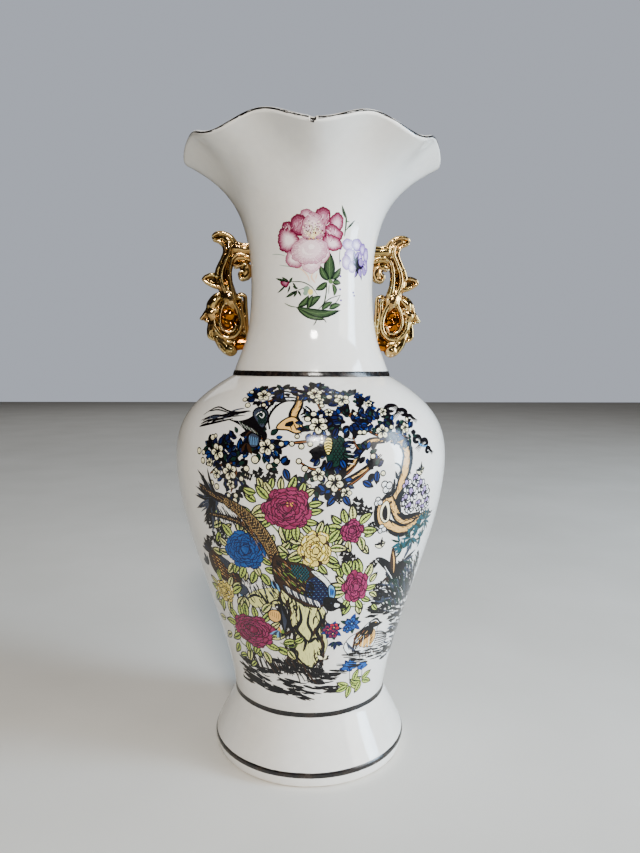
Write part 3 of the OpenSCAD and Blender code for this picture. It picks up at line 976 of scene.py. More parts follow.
class Print:
    """Flat shapes painted over each other, then cut into one layer with an ink for each piece."""

    def __init__(self, seed):
        self.shapes = []
        self.motif = "print"
        self.rng = random.Random(seed)

    def some(self, lowest, highest):
        return self.rng.uniform(lowest, highest)

    def area(self, points, ink):
        self.shapes.append(([Vector(p) for p in points], ink, self.motif))

    def dot(self, x, y, rx, ry, turn, count, ink):
        """A filled oval without an edge."""
        self.area(oval(x, y, rx, ry, turn, count), ink)

    def line(self, points, width=0.35, ink="black", ends=0.25, steps=4):
        self.area(ribbon(points, width, ends, steps), ink)

    def shape(self, points, ink, edge="black", line=0.6, smooth=3):
        """A filled shape with a dark line round it, smooth through its points."""
        points = [Vector(p) for p in points]
        if smooth:
            points = spline(points, smooth, closed=True)
        if edge:
            self.area(grow(points, line), edge)
        self.area(points, ink)

    def leaf(self, base, tip, width, bend=0.0, ink="lime", shade="moss", line=0.55):
        """A leaf with a dark edge, one shaded half, a midrib and side veins."""
        base, tip = Vector(base), Vector(tip)
        way = tip - base
        side = Vector((-way.y, way.x)) / way.length
        self.area(blade(base - way.normalized() * line, tip + way.normalized() * line * 2,
                        width + 2.2 * line, bend), "black")
        self.area(blade(base, tip, width, bend), ink)
        if shade:
            self.area(blade(base + way * 0.05 + side * width * 0.14,
                            base + way * 0.86 + side * width * 0.08, width * 0.28, bend), shade)
        self.area(ribbon([base, base + way * 0.5 + side * bend, tip], line * 1.15, 0.4, 3), "black")
        if way.length > 6:
            for t in (0.3, 0.5, 0.7):
                root = base + way * t + side * bend * 4 * t * (1 - t)
                for hand in (-1, 1):
                    end = root + way * 0.12 + side * hand * width * 0.3
                    self.area(ribbon([root, end], line * 0.5, 0.3, 2), "black")

    def leaves_round(self, x, y, rx, ry, count, length, start):
        """Leaves that stand out from behind a flower."""
        for k in range(count):
            a = start + 2 * math.pi * (k + self.some(-0.25, 0.25)) / count
            base = Vector((x + rx * math.cos(a), y + ry * math.sin(a)))
            lean = a + self.some(-0.7, 0.7)
            reach = length * self.some(0.75, 1.15)
            self.leaf(base, away(base, reach, lean), reach * 0.42,
                      self.some(-0.5, 0.5), self.rng.choice(("lime", "lime", "straw")),
                      self.rng.choice(("moss", "moss", None)))

    def blossom(self, x, y, r, ink="cream", heart="black", edge="black"):
        """A round-petalled blossom with stamens."""
        turn = self.some(0, 1.2)
        centre = Vector((x, y))
        for k in range(5):
            a = turn + 2 * math.pi * k / 5
            middle = away(centre, r * 0.6, a)
            petal = oval(middle.x, middle.y, r * 0.46, r * 0.37, a, 12)
            self.area(grow(petal, max(0.42, r * 0.15)), edge)
            self.area(petal, ink)
        for k in range(5):
            a = turn + 2 * math.pi * (k + 0.5) / 5
            self.line([centre, away(centre, r * 0.55, a)], r * 0.15, edge)
            stamen = turn + 2 * math.pi * k / 5
            self.line([centre, away(centre, r * 0.7, stamen)], r * 0.13, "black")
            tip = away(centre, r * 0.62, stamen)
            self.dot(tip.x, tip.y, r * 0.1, r * 0.1, 0, 6, "black")
        self.dot(x, y, r * 0.24, r * 0.24, 0, 8, edge)
        self.dot(x, y, r * 0.13, r * 0.13, 0, 8, heart)

    def bud(self, x, y, r, ink="cream"):
        """A round bud with a dark edge."""
        self.dot(x, y, r * 0.92 + 0.5, r * 0.92 + 0.5, 0, 12, "black")
        self.dot(x, y, r * 0.92, r * 0.86, 0, 12, ink)
        self.line([(x - r * 0.5, y - r * 0.2), (x, y - r * 0.5), (x + r * 0.5, y)], 0.16, "black")

    def spray(self, x, y, rx, ry, count):
        """A dense tuft of small dark leaves that point outwards."""
        inks = ("navy", "navy", "royal", "black", "black", "bottle")
        for _ in range(round(count * 1.7)):
            a, share = self.some(0, 2 * math.pi), math.sqrt(self.some(0.02, 1))
            base = Vector((x + rx * 0.8 * share * math.cos(a), y + ry * 0.8 * share * math.sin(a)))
            lean = a + self.some(-0.8, 0.8)
            length = self.some(2.6, 4.4)
            tip = away(base, length, lean)
            bend = self.some(-0.3, 0.3)
            self.area(blade(base, tip + (tip - base) * 0.08, length * 0.66, bend, 6), "black")
            ink = self.rng.choice(inks)
            if ink != "black":
                self.area(blade(base + (tip - base) * 0.12, tip - (tip - base) * 0.06,
                                length * 0.38, bend, 6), ink)
                self.line([base, tip], 0.26, "black", steps=1)
                if self.some(0, 1) < 0.3:
                    side = turned_by((length * 0.16, 0), lean + 1.57)
                    self.line([base.lerp(tip, 0.3) + side, base.lerp(tip, 0.7) + side], 0.3,
                              "sage", steps=1)

    def sprig(self, x, y, angle, length, ink="black"):
        """A small dark seed head: a stalk with short fat blades on both sides."""
        base = Vector((x, y))
        self.line([base, away(base, length, angle)], 0.4, ink, steps=1)
        for k in range(4):
            root = away(base, length * (0.16 + 0.24 * k), angle)
            for hand in (-1, 1):
                lean = angle + hand * self.some(0.8, 1.3)
                tip = away(root, length * self.some(0.3, 0.44), lean)
                self.area(blade(root, tip, length * 0.24, 0, 5), ink)
                for turn in (-0.9, 0.9):
                    self.area(blade(root.lerp(tip, 0.5), root.lerp(tip, 0.6)
                                    + turned_by((length * 0.2, 0), lean + turn), length * 0.14,
                                    0, 5), ink)

    def fan(self, x, y, count, start, sweep, length, width, inks, bend=0.0, jitter=0.15):
        """Blades that spread from one place, such as a tuft, a crest or a spiky leaf."""
        for k in range(count):
            a = start + sweep * k / max(1, count - 1) + self.some(-jitter, jitter)
            reach = length * self.some(0.75, 1.1)
            base = away((x, y), reach * 0.06, a)
            tip = away((x, y), reach, a)
            self.area(blade(base, tip, width * self.some(0.8, 1.2), bend, 6),
                      inks[k % len(inks)])

    def peony(self, x, y, rx, ry, inks, turn=0.0, count=40):
        """A full peony: small frilled petals that overlap inwards, each with a dark line."""
        edge, deep, mid, pale = inks
        frill = [(0, 0), (0.3, 0.34), (0.66, 0.52), (0.93, 0.42), (0.9, 0.2), (1.06, 0.1),
                 (1.0, -0.08), (1.04, -0.26), (0.86, -0.44), (0.6, -0.52), (0.28, -0.32)]
        for k in range(count):
            out = 1 - k / count
            radius = out ** 0.62
            a = turn + 2.4 * k + self.some(-0.25, 0.25)
            length = 0.36 + 0.2 * out
            width = (0.42 + 0.12 * out) * self.some(0.85, 1.15)
            lean = a + self.some(-0.45, 0.45)
            start = Vector((math.cos(a), math.sin(a))) * (radius - length * 0.92)

            def at(u, v):
                spot = start + turned_by((u * length, v * width), lean)
                return Vector((x + rx * spot.x, y + ry * spot.y))

            petal = spline([at(u, v * self.some(0.85, 1.1)) for u, v in frill], 2, closed=True)
            self.area(grow(petal, 0.42), edge)
            self.area(petal, mid if k % 3 else deep)
            if k % 3 == 0:
                tip = self.some(-0.12, 0.12)
                self.area(spline([at(0.94, 0.3 + tip), at(0.9, 0.02), at(0.92, -0.24 + tip),
                                  at(0.72, -0.22), at(0.66, 0.05), at(0.72, 0.3)], 2, closed=True),
                          pale)
            for share in (-0.32, -0.1, 0.12, 0.32):
                self.line([at(0.25, share * 0.5), at(self.some(0.6, 0.9), share)], 0.24, edge, 0.2,
                          1)

    def scales(self, outline, spacing, size, ink, back=None, angle=0.0):
        """Rows of small scallops that fill a shape, such as breast feathers."""
        xs = [p[0] for p in outline]
        ys = [p[1] for p in outline]
        y, row = min(ys), 0
        while y < max(ys):
            x = min(xs) + (spacing / 2 if row % 2 else 0)
            while x < max(xs):
                if inside((x, y), outline):
                    arc = [Vector((x, y)) + turned_by((size * math.cos(a), size * math.sin(a)),
                                                      angle)
                           for a in (-1.5, -0.75, 0, 0.75, 1.5)]
                    if back:
                        self.area(arc, back)
                    self.line(arc, size * 0.42, ink, 0.3, 2)
                x += spacing
            y += spacing * 0.75
            row += 1

    def barred(self, path, width, ink, bars, spacing=1.5, streak=None):
        """A long feather or tail: a ribbon with a dark edge, slanting bars and pale streaks."""
        self.area(ribbon(path, width + 1.3, 0.45, 6), "black")
        self.area(ribbon(path, width, 0.4, 6), ink)
        for p, way, t in along(path, spacing):
            side = Vector((-way.y, way.x))
            half = width / 2 * (0.4 + 0.6 * math.sin(math.pi * min(max(t, 0.02), 0.98)) ** 0.6)
            for hand in (-1, 1):
                self.line([p + side * half * hand, p + way * half * 0.7], 0.75, bars, 0.4, 1)
                if streak and self.some(0, 1) < 0.75:
                    root = p + side * half * self.some(0.25, 0.75) * hand + way * 0.5
                    self.line([root, root + way * self.some(0.6, 1.2) - side * half * 0.2 * hand],
                              self.some(0.35, 0.6), streak, 0.3, 1)

    def bough(self, path, width, core="tan", edge="black", bark=1.0):
        """A branch: ragged dark bark on both sides of a lighter core, and bark strokes."""
        self.area(ribbon(path, width + 2.1, 0.6, 6), edge)
        self.area(ribbon(path, width, 0.5, 6), core)
        for p, way, t in along(path, 0.9):
            side = Vector((-way.y, way.x))
            half = width / 2 * (0.6 + 0.4 * math.sin(math.pi * t))
            for hand in (-1, 1):
                if self.some(0, 1) < 0.8 * bark:
                    start = p + side * half * hand * self.some(0.8, 1.35)
                    end = start + way * self.some(1.2, 2.8) - side * hand * self.some(0, half * 0.7)
                    self.line([start, end], self.some(0.4, 1.1), edge, 0.15, 1)
                if self.some(0, 1) < 0.5 * bark:
                    start = p + side * half * hand * self.some(1.15, 1.6)
                    self.line([start, start + way * self.some(0.8, 2) + side * hand
                               * self.some(-0.3, 0.7)], self.some(0.8, 1.7), edge, 0.2, 1)
            if self.some(0, 1) < 0.35 * bark:
                spot = p + side * half * self.some(-0.5, 0.5)
                self.line([spot, spot + way * self.some(1, 2)], 0.35,
                          self.rng.choice((edge, "sienna")), 0.2, 1)

    def cut(self, names, node):
        """Cuts the painting into one layer on the wall. names gives the piece of each motif."""
        points, edges = [], []
        for outline, _, _ in self.shapes:
            first = len(points)
            points += outline
            edges += [(first + i, first + (i + 1) % len(outline)) for i in range(len(outline))]
        xs, ys = [p.x for p in points], [p.y for p in points]
        row, y = 0, min(ys)
        while y < max(ys):
            x = min(xs) + (PRINT_GRID / 2 if row % 2 else 0)
            while x < max(xs):
                points.append(Vector((x, y)))
                x += PRINT_GRID
            y += PRINT_GRID * 0.87
            row += 1
        made = delaunay_2d_cdt(points, edges, [], 0, 1e-4, False)
        flat = np.array([tuple(p) for p in made[0]])
        faces = np.array([f for f in made[2] if len(f) == 3])
        a, b, c = (flat[faces[:, i]] for i in range(3))
        size = np.abs((b[:, 0] - a[:, 0]) * (c[:, 1] - a[:, 1])
                      - (b[:, 1] - a[:, 1]) * (c[:, 0] - a[:, 0]))
        faces = faces[size > 2e-5]
        centres = flat[faces].mean(axis=1)
        order = np.argsort(centres[:, 0])
        faces, centres = faces[order], centres[order]
        top = np.full(len(faces), -1)
        for index, (outline, _, _) in enumerate(self.shapes):
            shape = np.array([tuple(p) for p in outline])
            first, last = np.searchsorted(centres[:, 0], (shape[:, 0].min(), shape[:, 0].max()))
            near = np.arange(first, last)
            heights = centres[near, 1]
            near = near[(heights > shape[:, 1].min()) & (heights < shape[:, 1].max())]
            x, y = centres[near, 0], centres[near, 1]
            winding = np.zeros(len(near), int)
            for (x0, y0), (x1, y1) in zip(shape, np.roll(shape, -1, axis=0)):
                if y0 == y1:
                    continue
                crossing = x0 + (y - y0) * (x1 - x0) / (y1 - y0) > x
                winding += crossing & (y0 <= y) & (y < y1)
                winding -= crossing & (y1 <= y) & (y < y0)
            top[near[winding != 0]] = index
        kept = top >= 0
        faces, top = faces[kept], top[kept]
        for motif, name in names.items():
            part = [i for i in range(len(faces)) if self.shapes[top[i]][2] == motif]
            self.lay(name, flat, faces[part], [self.shapes[top[i]][1] for i in part], node)

    def lay(self, name, flat, faces, inks, node):
        """Lays cut faces on the wall as one piece, with an ink for each face."""
        used, remap = np.unique(faces, return_inverse=True)
        faces = remap.reshape(-1, 3)
        places, normals = [], []
        for i in used:
            place, normal = WALL.place(flat[i][0], flat[i][1], PRINT_LIFT)
            places.append(place)
            normals.append(normal)
        palette = sorted(set(inks))
        slots = [palette.index(ink) for ink in inks]
        piece = add_mesh(name, places, [tuple(map(int, f)) for f in faces],
                         [INKS[ink] for ink in palette], slots)
        piece.data.normals_split_custom_set_from_vertices(normals)
        settle(piece, node)


# ---------- the garden printed on the body: x round it, y up it, in millimetres ----------

PEONY_ROSE = ("wine", "rose", "pink", "pink")
PEONY_BLUE = ("navy", "blue", "blue", "cobalt")
PEONY_GOLD = ("umber", "lemon", "butter", "cream")

# Tufts of small dark leaves: x, y, spread across, spread up, how many
TUFTS = [
    (-21, 161, 9, 5.5, 34), (-12, 164.5, 5, 3, 14), (1.5, 163.5, 6.5, 6, 34),
    (15, 160, 9, 4.5, 34), (24, 155.5, 4, 4, 14), (3, 146, 9, 6, 30), (16, 147.5, 9, 6, 40),
    (29, 146.5, 8, 5.5, 36), (38, 142.5, 7, 4.5, 26), (46, 140.5, 5, 4, 16),
    (-19, 137, 8, 6, 28), (-43, 132, 9, 6.5, 34), (-36, 124.5, 9, 7, 34), (-35, 116, 4, 3, 12),
    (9, 132, 7, 5, 26), (10, 120, 7, 6, 26), (-1, 120, 5, 4, 12), (24, 133, 4, 3, 9),
    (28, 126, 2.5, 3, 6), (-32, 137.5, 5, 5, 14), (-31, 131, 3, 3, 7), (-13, 128, 3, 2, 5),
]

# Open blossoms: x, y, radius
BLOSSOMS = [
    (-21.5, 161.5, 3.2), (1.5, 163, 3.1), (3.5, 158.5, 1.9), (13.5, 159, 3.2), (3, 145.5, 3.6),
    (32, 142, 3), (45, 143, 2.3), (-19, 135.5, 3.2), (-43.5, 132, 3.4), (-36.5, 124, 3.4),
    (10, 121, 3.6), (3, 124.5, 2.6), (-44, 122.5, 2.1), (15, 116.5, 2.2), (33, 151.5, 2),
    (-2, 119, 2), (-36, 118.5, 1.9), (26, 156.5, 1.6), (-48.5, 127, 1.7), (7.5, 151.8, 1.7),
]

# Round buds: x, y, radius
BUDS = [
    (-28, 163.5, 1), (-31, 158.3, 1), (-29, 155, 1.2), (-21, 155.5, 0.9), (7.8, 161, 1.2),
    (1, 151, 1.2), (-1.5, 148.5, 1.2), (4.5, 155.5, 0.9), (-24, 130, 1.6), (-17.5, 127.3, 1.3),
    (-14.3, 129.8, 1.1), (-5, 130, 1), (-2.5, 127, 1.2), (-12.5, 137, 1), (-8, 137.2, 0.9),
    (-4, 136.2, 1), (-0.3, 137.2, 0.9), (-56, 131.3, 1.3), (-52.7, 131, 1), (-53, 127.3, 1.2),
    (-47, 138, 1.2), (-45.2, 138.8, 0.8), (-28, 126, 1.2), (-28, 123.5, 1), (-30.5, 121.5, 1),
    (-47, 118, 1.1), (-44, 116.7, 1.2), (-33.5, 113.8, 1), (-34, 111.5, 1.1),
    (-37.3, 113.5, 0.9), (21, 142, 0.9), (23, 142, 0.9), (37, 143.8, 1), (47, 147, 0.9),
    (32, 124, 1), (-5.8, 140.4, 0.8), (27, 131.5, 1.1), (11, 161.5, 0.8), (19, 151, 0.8),
]


def paint_boughs(p):
    """The flowering boughs across the top."""
    p.motif = "boughs"
    for path in ([(-26, 156), (-18, 158), (-10, 164), (-5, 160)], [(0, 168), (2, 160), (4, 153)],
                 [(14, 164), (15, 156), (14, 151), (22, 151), (27, 145)],
                 [(28, 151), (24, 144), (31, 140), (38, 141), (47, 138)],
                 [(8, 152), (15, 151), (20, 146), (18, 139), (21, 134)],
                 [(-46, 137), (-38, 131), (-33, 124), (-36, 115)],
                 [(-48, 122), (-40, 127), (-30, 128)], [(-26, 141), (-17, 137), (-13, 130)],
                 [(27, 128), (20, 122), (12, 118), (2, 116)], [(-12, 137), (-4, 138), (6, 139)],
                 [(-5, 130), (0, 127), (8, 126), (14, 124), (19, 128)]):
        p.line(path, 1.5, "black", 0.3)
        p.line(path, 0.45, "sienna", 0.2)
    for path, width in (([(-18.5, 143), (-19.5, 149), (-16, 156), (-11, 159.3), (-6, 159)], 1.5),
                        ([(-9, 163), (-12, 163.5), (-15, 161.5)], 0.9),
                        ([(-3, 155), (-1, 152), (-4, 150)], 0.9)):
        p.bough(path, width, "chalk", bark=0.3)
    p.bough([(-5, 161), (-5.5, 156), (-7.5, 150), (-6, 146), (-5, 143)], 2.5)
    p.shape([(-7, 149), (-11, 148), (-14.5, 144), (-10, 143.5), (-6, 142), (-3.5, 144)], "tan",
            line=0.7)
    p.shape([(-7.5, 147.5), (-10.5, 146.5), (-11, 144.8), (-8, 145)], "black", None)
    for x in (-9.5, -7.5, -5.5):
        p.line([(x, 146.5), (x + 1.5, 143)], 0.5, "black")
    for x, y, rx, ry, count in TUFTS:
        p.spray(x, y, rx, ry, count)
    for x, y, r in BUDS:
        p.bud(x, y, r)
    for x, y, r in BLOSSOMS:
        p.blossom(x, y, r)
    for x, y, a in ((22.5, 121, -0.5), (29, 125, -1.6), (-11, 126.5, -1.2), (-29, 119, -1),
                    (14, 115, -1), (10, 115, -2.2), (2, 115, -1.6), (-31.5, 133.5, 1.5)):
        p.leaf((x, y), away((x, y), 4.6, a), 2.2, 0, "royal", "navy")


def paint_streamer_bird(p):
    """The long-tailed bird at the top left."""
    p.motif = "birds"
    for k in range(17):
        x, y = -58 + 1.25 * k + p.some(-1, 1), 142.5 + 0.42 * k + p.some(-1.5, 2.5)
        p.line([(x, y), (x + 5, y + p.some(1.2, 2.2)), (x + p.some(8, 12), y + p.some(2, 3.4))],
               p.some(0.6, 1.2), p.rng.choice(("black", "black", "slate", "black")), 0.1)
    for path, width in (([(-27, 151.6), (-38, 151), (-47, 153), (-57, 148)], 0.9),
                        ([(-36, 147.5), (-46, 145), (-58, 142)], 1.0),
                        ([(-38, 150), (-46, 151.5), (-54, 150)], 0.8),
                        ([(-30, 149.5), (-38, 148.5), (-48, 148.5), (-58, 145)], 0.8)):
        p.line(path, width, "black", 0.1)
    p.shape([(-39, 147), (-33, 146.6), (-28, 148), (-23.5, 151), (-20.5, 148), (-20, 143),
             (-23, 138.5), (-27, 140), (-32, 144.5)], "black", None)
    p.fan(-24, 143, 6, 3.5, 1.3, 8, 2, ("black", "umber"))
    p.shape([(-25.5, 150), (-24.5, 153), (-21.5, 153.8), (-19.2, 151.5), (-19.3, 147),
             (-21, 144), (-23, 146)], "slate", line=0.7)
    p.scales([(-25, 150), (-22, 153), (-19.5, 151), (-20, 146), (-23, 146)], 1.1, 0.75, "black",
             "bottle")
    p.line([(-24.4, 149.6), (-22.4, 151.6), (-20.6, 150.4), (-21.4, 148.6), (-22.8, 149.6)], 0.5,
           "chalk")
    for k in range(8):
        p.line([(-33 + 1.1 * k, 146.4 - 0.5 * k), (-30.5 + 1.1 * k, 143.6 - 0.4 * k)], 0.3,
               "sage" if k % 2 else "chalk", 0.2, 1)
    p.line([(-25, 152), (-22, 153.6), (-19, 151.5), (-19, 146)], 0.5, "black")
    p.bud(-22, 151.5, 0.5, "chalk")
    p.shape([(-27.5, 139), (-25.5, 141), (-22.5, 139.5), (-23, 136), (-26, 135.5)], "slate")
    for k in range(5):
        p.line([(-26.8 + 0.9 * k, 140 - 0.2 * k), (-26.2 + 0.7 * k, 136.2)], 0.5, "sky", 0.2, 1)
    p.fan(-28, 137, 5, 3.9, 1.2, 6, 1.8, ("black", "umber", "black"))


def paint_hidden_bird(p):
    """The green and yellow bird among the blossoms."""
    p.motif = "birds"
    p.shape([(-1, 134), (3, 136.5), (7, 135), (7, 132.5), (2, 132.5)], "black", None)
    p.shape([(5, 136), (6, 139.5), (9, 141), (13.5, 139.5), (14.5, 134), (12, 128.5), (8, 128),
             (6.5, 132)], "bottle", line=0.4)
    p.shape([(5.5, 136.5), (6.6, 139.6), (8.6, 139), (8.4, 135), (7, 132.8)], "butter")
    for y in (133.4, 134.6, 135.8, 137, 138.2):
        p.line([(5.6, y), (7.2, y + 0.7), (8.8, y)], 0.55, "black")
    p.scales([(9, 139), (13.8, 139), (13.8, 132), (11, 128.6), (8, 130)], 1.5, 0.9, "black",
             "bottle")
    for x, y, a, ink in ((11, 139.5, 2.2, "royal"), (13.6, 136.4, 0.3, "navy"),
                         (12.6, 130.4, 5.2, "royal"), (8.6, 130, 4.2, "navy"),
                         (13.6, 133, 5.9, "bottle"), (9.6, 140.6, 1.2, "navy")):
        p.leaf((x, y), away((x, y), 4, a), 2, 0, ink, None)
    for k in range(6):
        p.line([(15 + 0.4 * k, 140 - 2 * k), (17.5, 139 - 2 * k), (19.5 - 0.3 * k, 140 - 2 * k)],
               0.6, "black")
        p.line([(15.5, 139 - 2 * k), (18.5, 138.6 - 2 * k)], 0.25, "chalk")


def paint_trunk(p):
    """The old trunk down the right, its hollow, the clouds and the spiky leaves behind it."""
    p.motif = "trunk"
    for path, width in (([(13, 125), (18, 129), (20.5, 134), (26, 137.8), (33, 138)], 1.6),
                        ([(13, 121), (19, 123.5), (25, 127), (30, 131)], 1.0)):
        p.bough(path, width)
    p.bough([(36, 138.5), (42, 137.5), (45.3, 132), (44.6, 126), (42.6, 120), (40.6, 115),
             (37, 111.5)], 3.7)
    p.bough([(36, 113), (38.4, 108), (41.5, 103), (47, 100.5), (55, 101), (65, 100.6)], 3.4)
    p.bough([(37, 112), (33, 111), (31, 107), (32, 102.5), (37, 99.5), (43, 96.5), (49, 96.8),
             (54, 99)], 3.4)
    for path, width in (([(43, 139), (47.4, 134.6), (47.8, 128), (46, 121.5)], 2.4),
                        ([(45.6, 121.5), (43.6, 115.6), (40.6, 111.5), (42.4, 105.4)], 3.0),
                        ([(38.2, 121), (37.4, 116), (33.8, 113.6), (29.6, 110)], 1.9),
                        ([(29.2, 112), (28.8, 106), (30.2, 100.6), (34.6, 97.4)], 2.0),
                        ([(36, 97), (42.6, 94), (49.4, 94.2)], 2.4),
                        ([(40.2, 105), (45, 102.4), (52, 102.6), (60, 102.4)], 2.2)):
        p.line(path, width, "black", 0.25)
        for q, way, _ in along(path, 1.1):
            p.line([q, q + way * 1.6 + Vector((p.some(-1.3, 1.3), p.some(-1, 1)))],
                   p.some(0.5, 1.2), "black", 0.2, 1)
    p.shape([(34.5, 111.5), (31.6, 109), (31.3, 104.5), (33.5, 101.6), (36, 103), (36, 108)],
            "cream", line=0.5)
    p.shape([(33.6, 109.8), (32, 106.5), (32.8, 103.2), (34.8, 102.6), (35, 107)], "black", None)
    p.line([(38, 128), (41, 126.5), (42.5, 122)], 0.9, "black")
    p.shape([(38.5, 124.5), (40, 122.5), (40.5, 120.6), (38.7, 121.5)], "black", None)
    for k in range(9):
        x = 43 + 2.6 * k
        p.line([(x, 102 + 0.2 * k), (x + 4, 100.6), (x + 7, 101.5)], p.some(0.5, 1.1), "black")
    for x, y, r in ((34, 118, 2.4), (30, 111.5, 1.7), (32.5, 98.5, 1.8)):
        for k in range(3):
            a = 2.1 * k + r
            p.bud(x + 0.6 * r * math.cos(a), y + 0.6 * r * math.sin(a), 0.62 * r, "chalk")
    for x, y, r in ((46, 117, 3), (50, 113, 3.4), (45.5, 110.5, 2.8), (52, 119, 2.6),
                    (56, 116, 3), (60, 112.5, 3.2), (48, 106.5, 2.6), (54.5, 107, 2.4),
                    (62, 107, 2.6), (58, 104.5, 2.2)):
        paint_puff(p, x, y, r)
    for x, y, start, count, length in ((46, 86, 0.4, 8, 6.5), (51.5, 91, 2.2, 9, 7.5),
                                       (57, 94, 0.2, 9, 7), (62, 98, -1.2, 9, 7.5),
                                       (54, 97.5, 3.4, 7, 7), (61, 89, 0.8, 7, 6),
                                       (44, 90, 2.0, 6, 6)):
        p.fan(x, y, count, start, 3.6, length, 1.5, ("teal", "bottle", "teal"), 0.2)
        for k in range(count):
            a = start + 3.6 * k / (count - 1)
            p.line([(x, y), away((x, y), length * 0.8, a)], 0.16, "black", steps=1)
    for x, y, r, flip in ((38, 153, 4.5, 1), (45, 150.5, 4, -1), (34, 150, 2.6, 1),
                          (49, 147.5, 3, 1), (52.5, 137, 3.4, 1), (58.5, 135, 3.6, -1),
                          (61, 131.5, 2.6, 1)):
        paint_swirl(p, x, y, r, flip)
    for k in range(4):
        p.line([(52.5 + k, 136.4 - 0.5 * k), (54.5 + k, 134.5 - 0.4 * k), (57.5 + k, 134)], 0.5,
               "sky" if k % 2 else "black")


def paint_puff(p, x, y, r):
    """A curled, cloud-like flower head in outline."""
    for k in range(6):
        a = 2 * math.pi * k / 6 + r
        p.shape(oval(x + 0.62 * r * math.cos(a), y + 0.62 * r * math.sin(a), 0.4 * r, 0.34 * r,
                     a, 8), "chalk" if k % 5 else "lilac", "black", 0.62, 0)
        p.line([(x + 0.62 * r * math.cos(a), y + 0.62 * r * math.sin(a)), (x, y)], 0.45, "black",
               0.3, 1)
    turn = [(x + 0.12 * r * k * math.cos(1.3 * k), y + 0.12 * r * k * math.sin(1.3 * k))
            for k in range(5)]
    p.line(turn, 0.95, "black")
    for k in range(3):
        a = p.some(0, 6.28)
        p.line([(x + r * math.cos(a), y + r * math.sin(a)), (x + 1.3 * r * math.cos(a + 0.4),
                y + 1.3 * r * math.sin(a + 0.4)), (x + r * math.cos(a + 0.9),
                y + r * math.sin(a + 0.9))], 0.6, "black", 0.2)


def paint_swirl(p, x, y, r, flip):
    """A scrolled cloud: four lines that wind in together."""
    for k, width in ((0, 1.1), (1, 0.9), (2, 0.8), (3, 0.6)):
        scale = 1.15 - 0.24 * k
        path = [(x + flip * r * (2.1 - 0.2 * k), y - r * (0.5 + 0.15 * k))]
        path += [(x + flip * r * scale * math.cos(a) * (1 - 0.09 * a),
                  y + 0.62 * r * scale * math.sin(a) * (1 - 0.09 * a))
                 for a in (0, 0.8, 1.6, 2.4, 3.2, 4.0, 4.8, 5.6)]
        p.line(path, width, "black", 0.1)


def paint_flight(p, x, y, r):
    """A tiny bird in flight."""
    p.shape([(x - 0.9 * r, y + 0.1 * r), (x, y + 0.3 * r), (x + 0.9 * r, y + 0.4 * r),
             (x + 0.3 * r, y - 0.5 * r), (x - 0.5 * r, y - 0.4 * r)], "cream", "black", 0.45)
    for a, reach in ((2.9, 1.2), (2.1, 0.8), (1.3, 1.5), (1.0, 1.1), (0.3, 1.2), (5.6, 0.7)):
        p.area(blade((x, y), away((x, y), reach * r, a), 0.34 * r, 0, 6), "black")


# Peonies, in the order they are painted: x, y, half width, half height, leaves, colours
PEONIES = [
    (-45, 62.5, 7, 6.5, 7, PEONY_GOLD), (-28, 44, 11.8, 9.4, 15, PEONY_ROSE),
    (20.5, 70.5, 6.2, 9, 10, PEONY_ROSE), (18, 99, 5.2, 5.8, 9, PEONY_ROSE),
    (2, 90.5, 7.2, 9.2, 14, PEONY_GOLD), (-30, 88, 10.4, 9.6, 11, PEONY_BLUE),
    (-10, 109.5, 10.8, 9.6, 15, PEONY_ROSE),
]

# Loose leaves that fill the beds: x, y, direction in radians, length
BED_LEAVES = [
    (-24, 112, 2.6, 6), (-27, 114, 1.9, 5), (-24, 116, 2.9, 6), (-22, 104, 3.3, 6),
    (-26, 106, 2.6, 6), (-16, 97, 4.3, 6), (-12, 97, 5.2, 7), (-9, 94, 4.0, 6),
    (-14, 92, 5.6, 6), (-10, 88, 3.4, 6), (-13, 86, 4.6, 6), (-7, 86, 5.0, 6), (-8, 91, 0.5, 6),
    (10, 96, 2.2, 5), (11, 92, 1.0, 5), (9, 84, 5.6, 7), (4, 81, 4.4, 6), (12, 82, 5.0, 6),
    (-44, 103, 2.2, 6), (-42, 100, 3.6, 7), (-44, 95, 4.3, 6), (-41, 97, 0.6, 5),
    (-43, 84, 3.0, 7), (-37, 80, 4.2, 7), (-31, 78, 4.8, 6), (-25, 78, 4.4, 7),
    (-22, 77, 5.3, 7), (-20, 80, 5.9, 6), (14, 71, 2.9, 6), (14, 69, 3.9, 6), (15, 73, 2.3, 5),
    (28, 72, 0.9, 5), (28, 66, 5.6, 5), (22, 61, 4.9, 6), (18, 61, 4.2, 6), (30, 59, 5.4, 5),
    (-40, 56, 2.4, 7), (-35, 56, 1.2, 7), (-30, 57, 1.9, 6), (-22, 56, 0.9, 7),
    (-18, 53, 0.3, 7), (-46, 52, 2.8, 7), (-48, 45, 3.3, 7), (-44, 37, 3.8, 7),
    (-38, 33, 4.2, 7), (-30, 32, 4.6, 7), (-22, 33, 5.2, 7), (-15, 37, 5.8, 7),
    (-12, 40, 0.2, 6), (-10, 36, 5.3, 6), (-7, 41, 0.6, 5), (-50, 62, 2.9, 6), (-38, 66, 0.7, 6),
    (-46, 70, 2.0, 5), (16, 80, 1.2, 5), (13, 103, 2.4, 5), (24, 96, 0.4, 5), (22, 92, 5.4, 6),
    (-27, 26, 4.0, 5), (-33, 28, 3.6, 5), (-17, 118, 1.4, 5), (-21, 117, 1.9, 6),
]

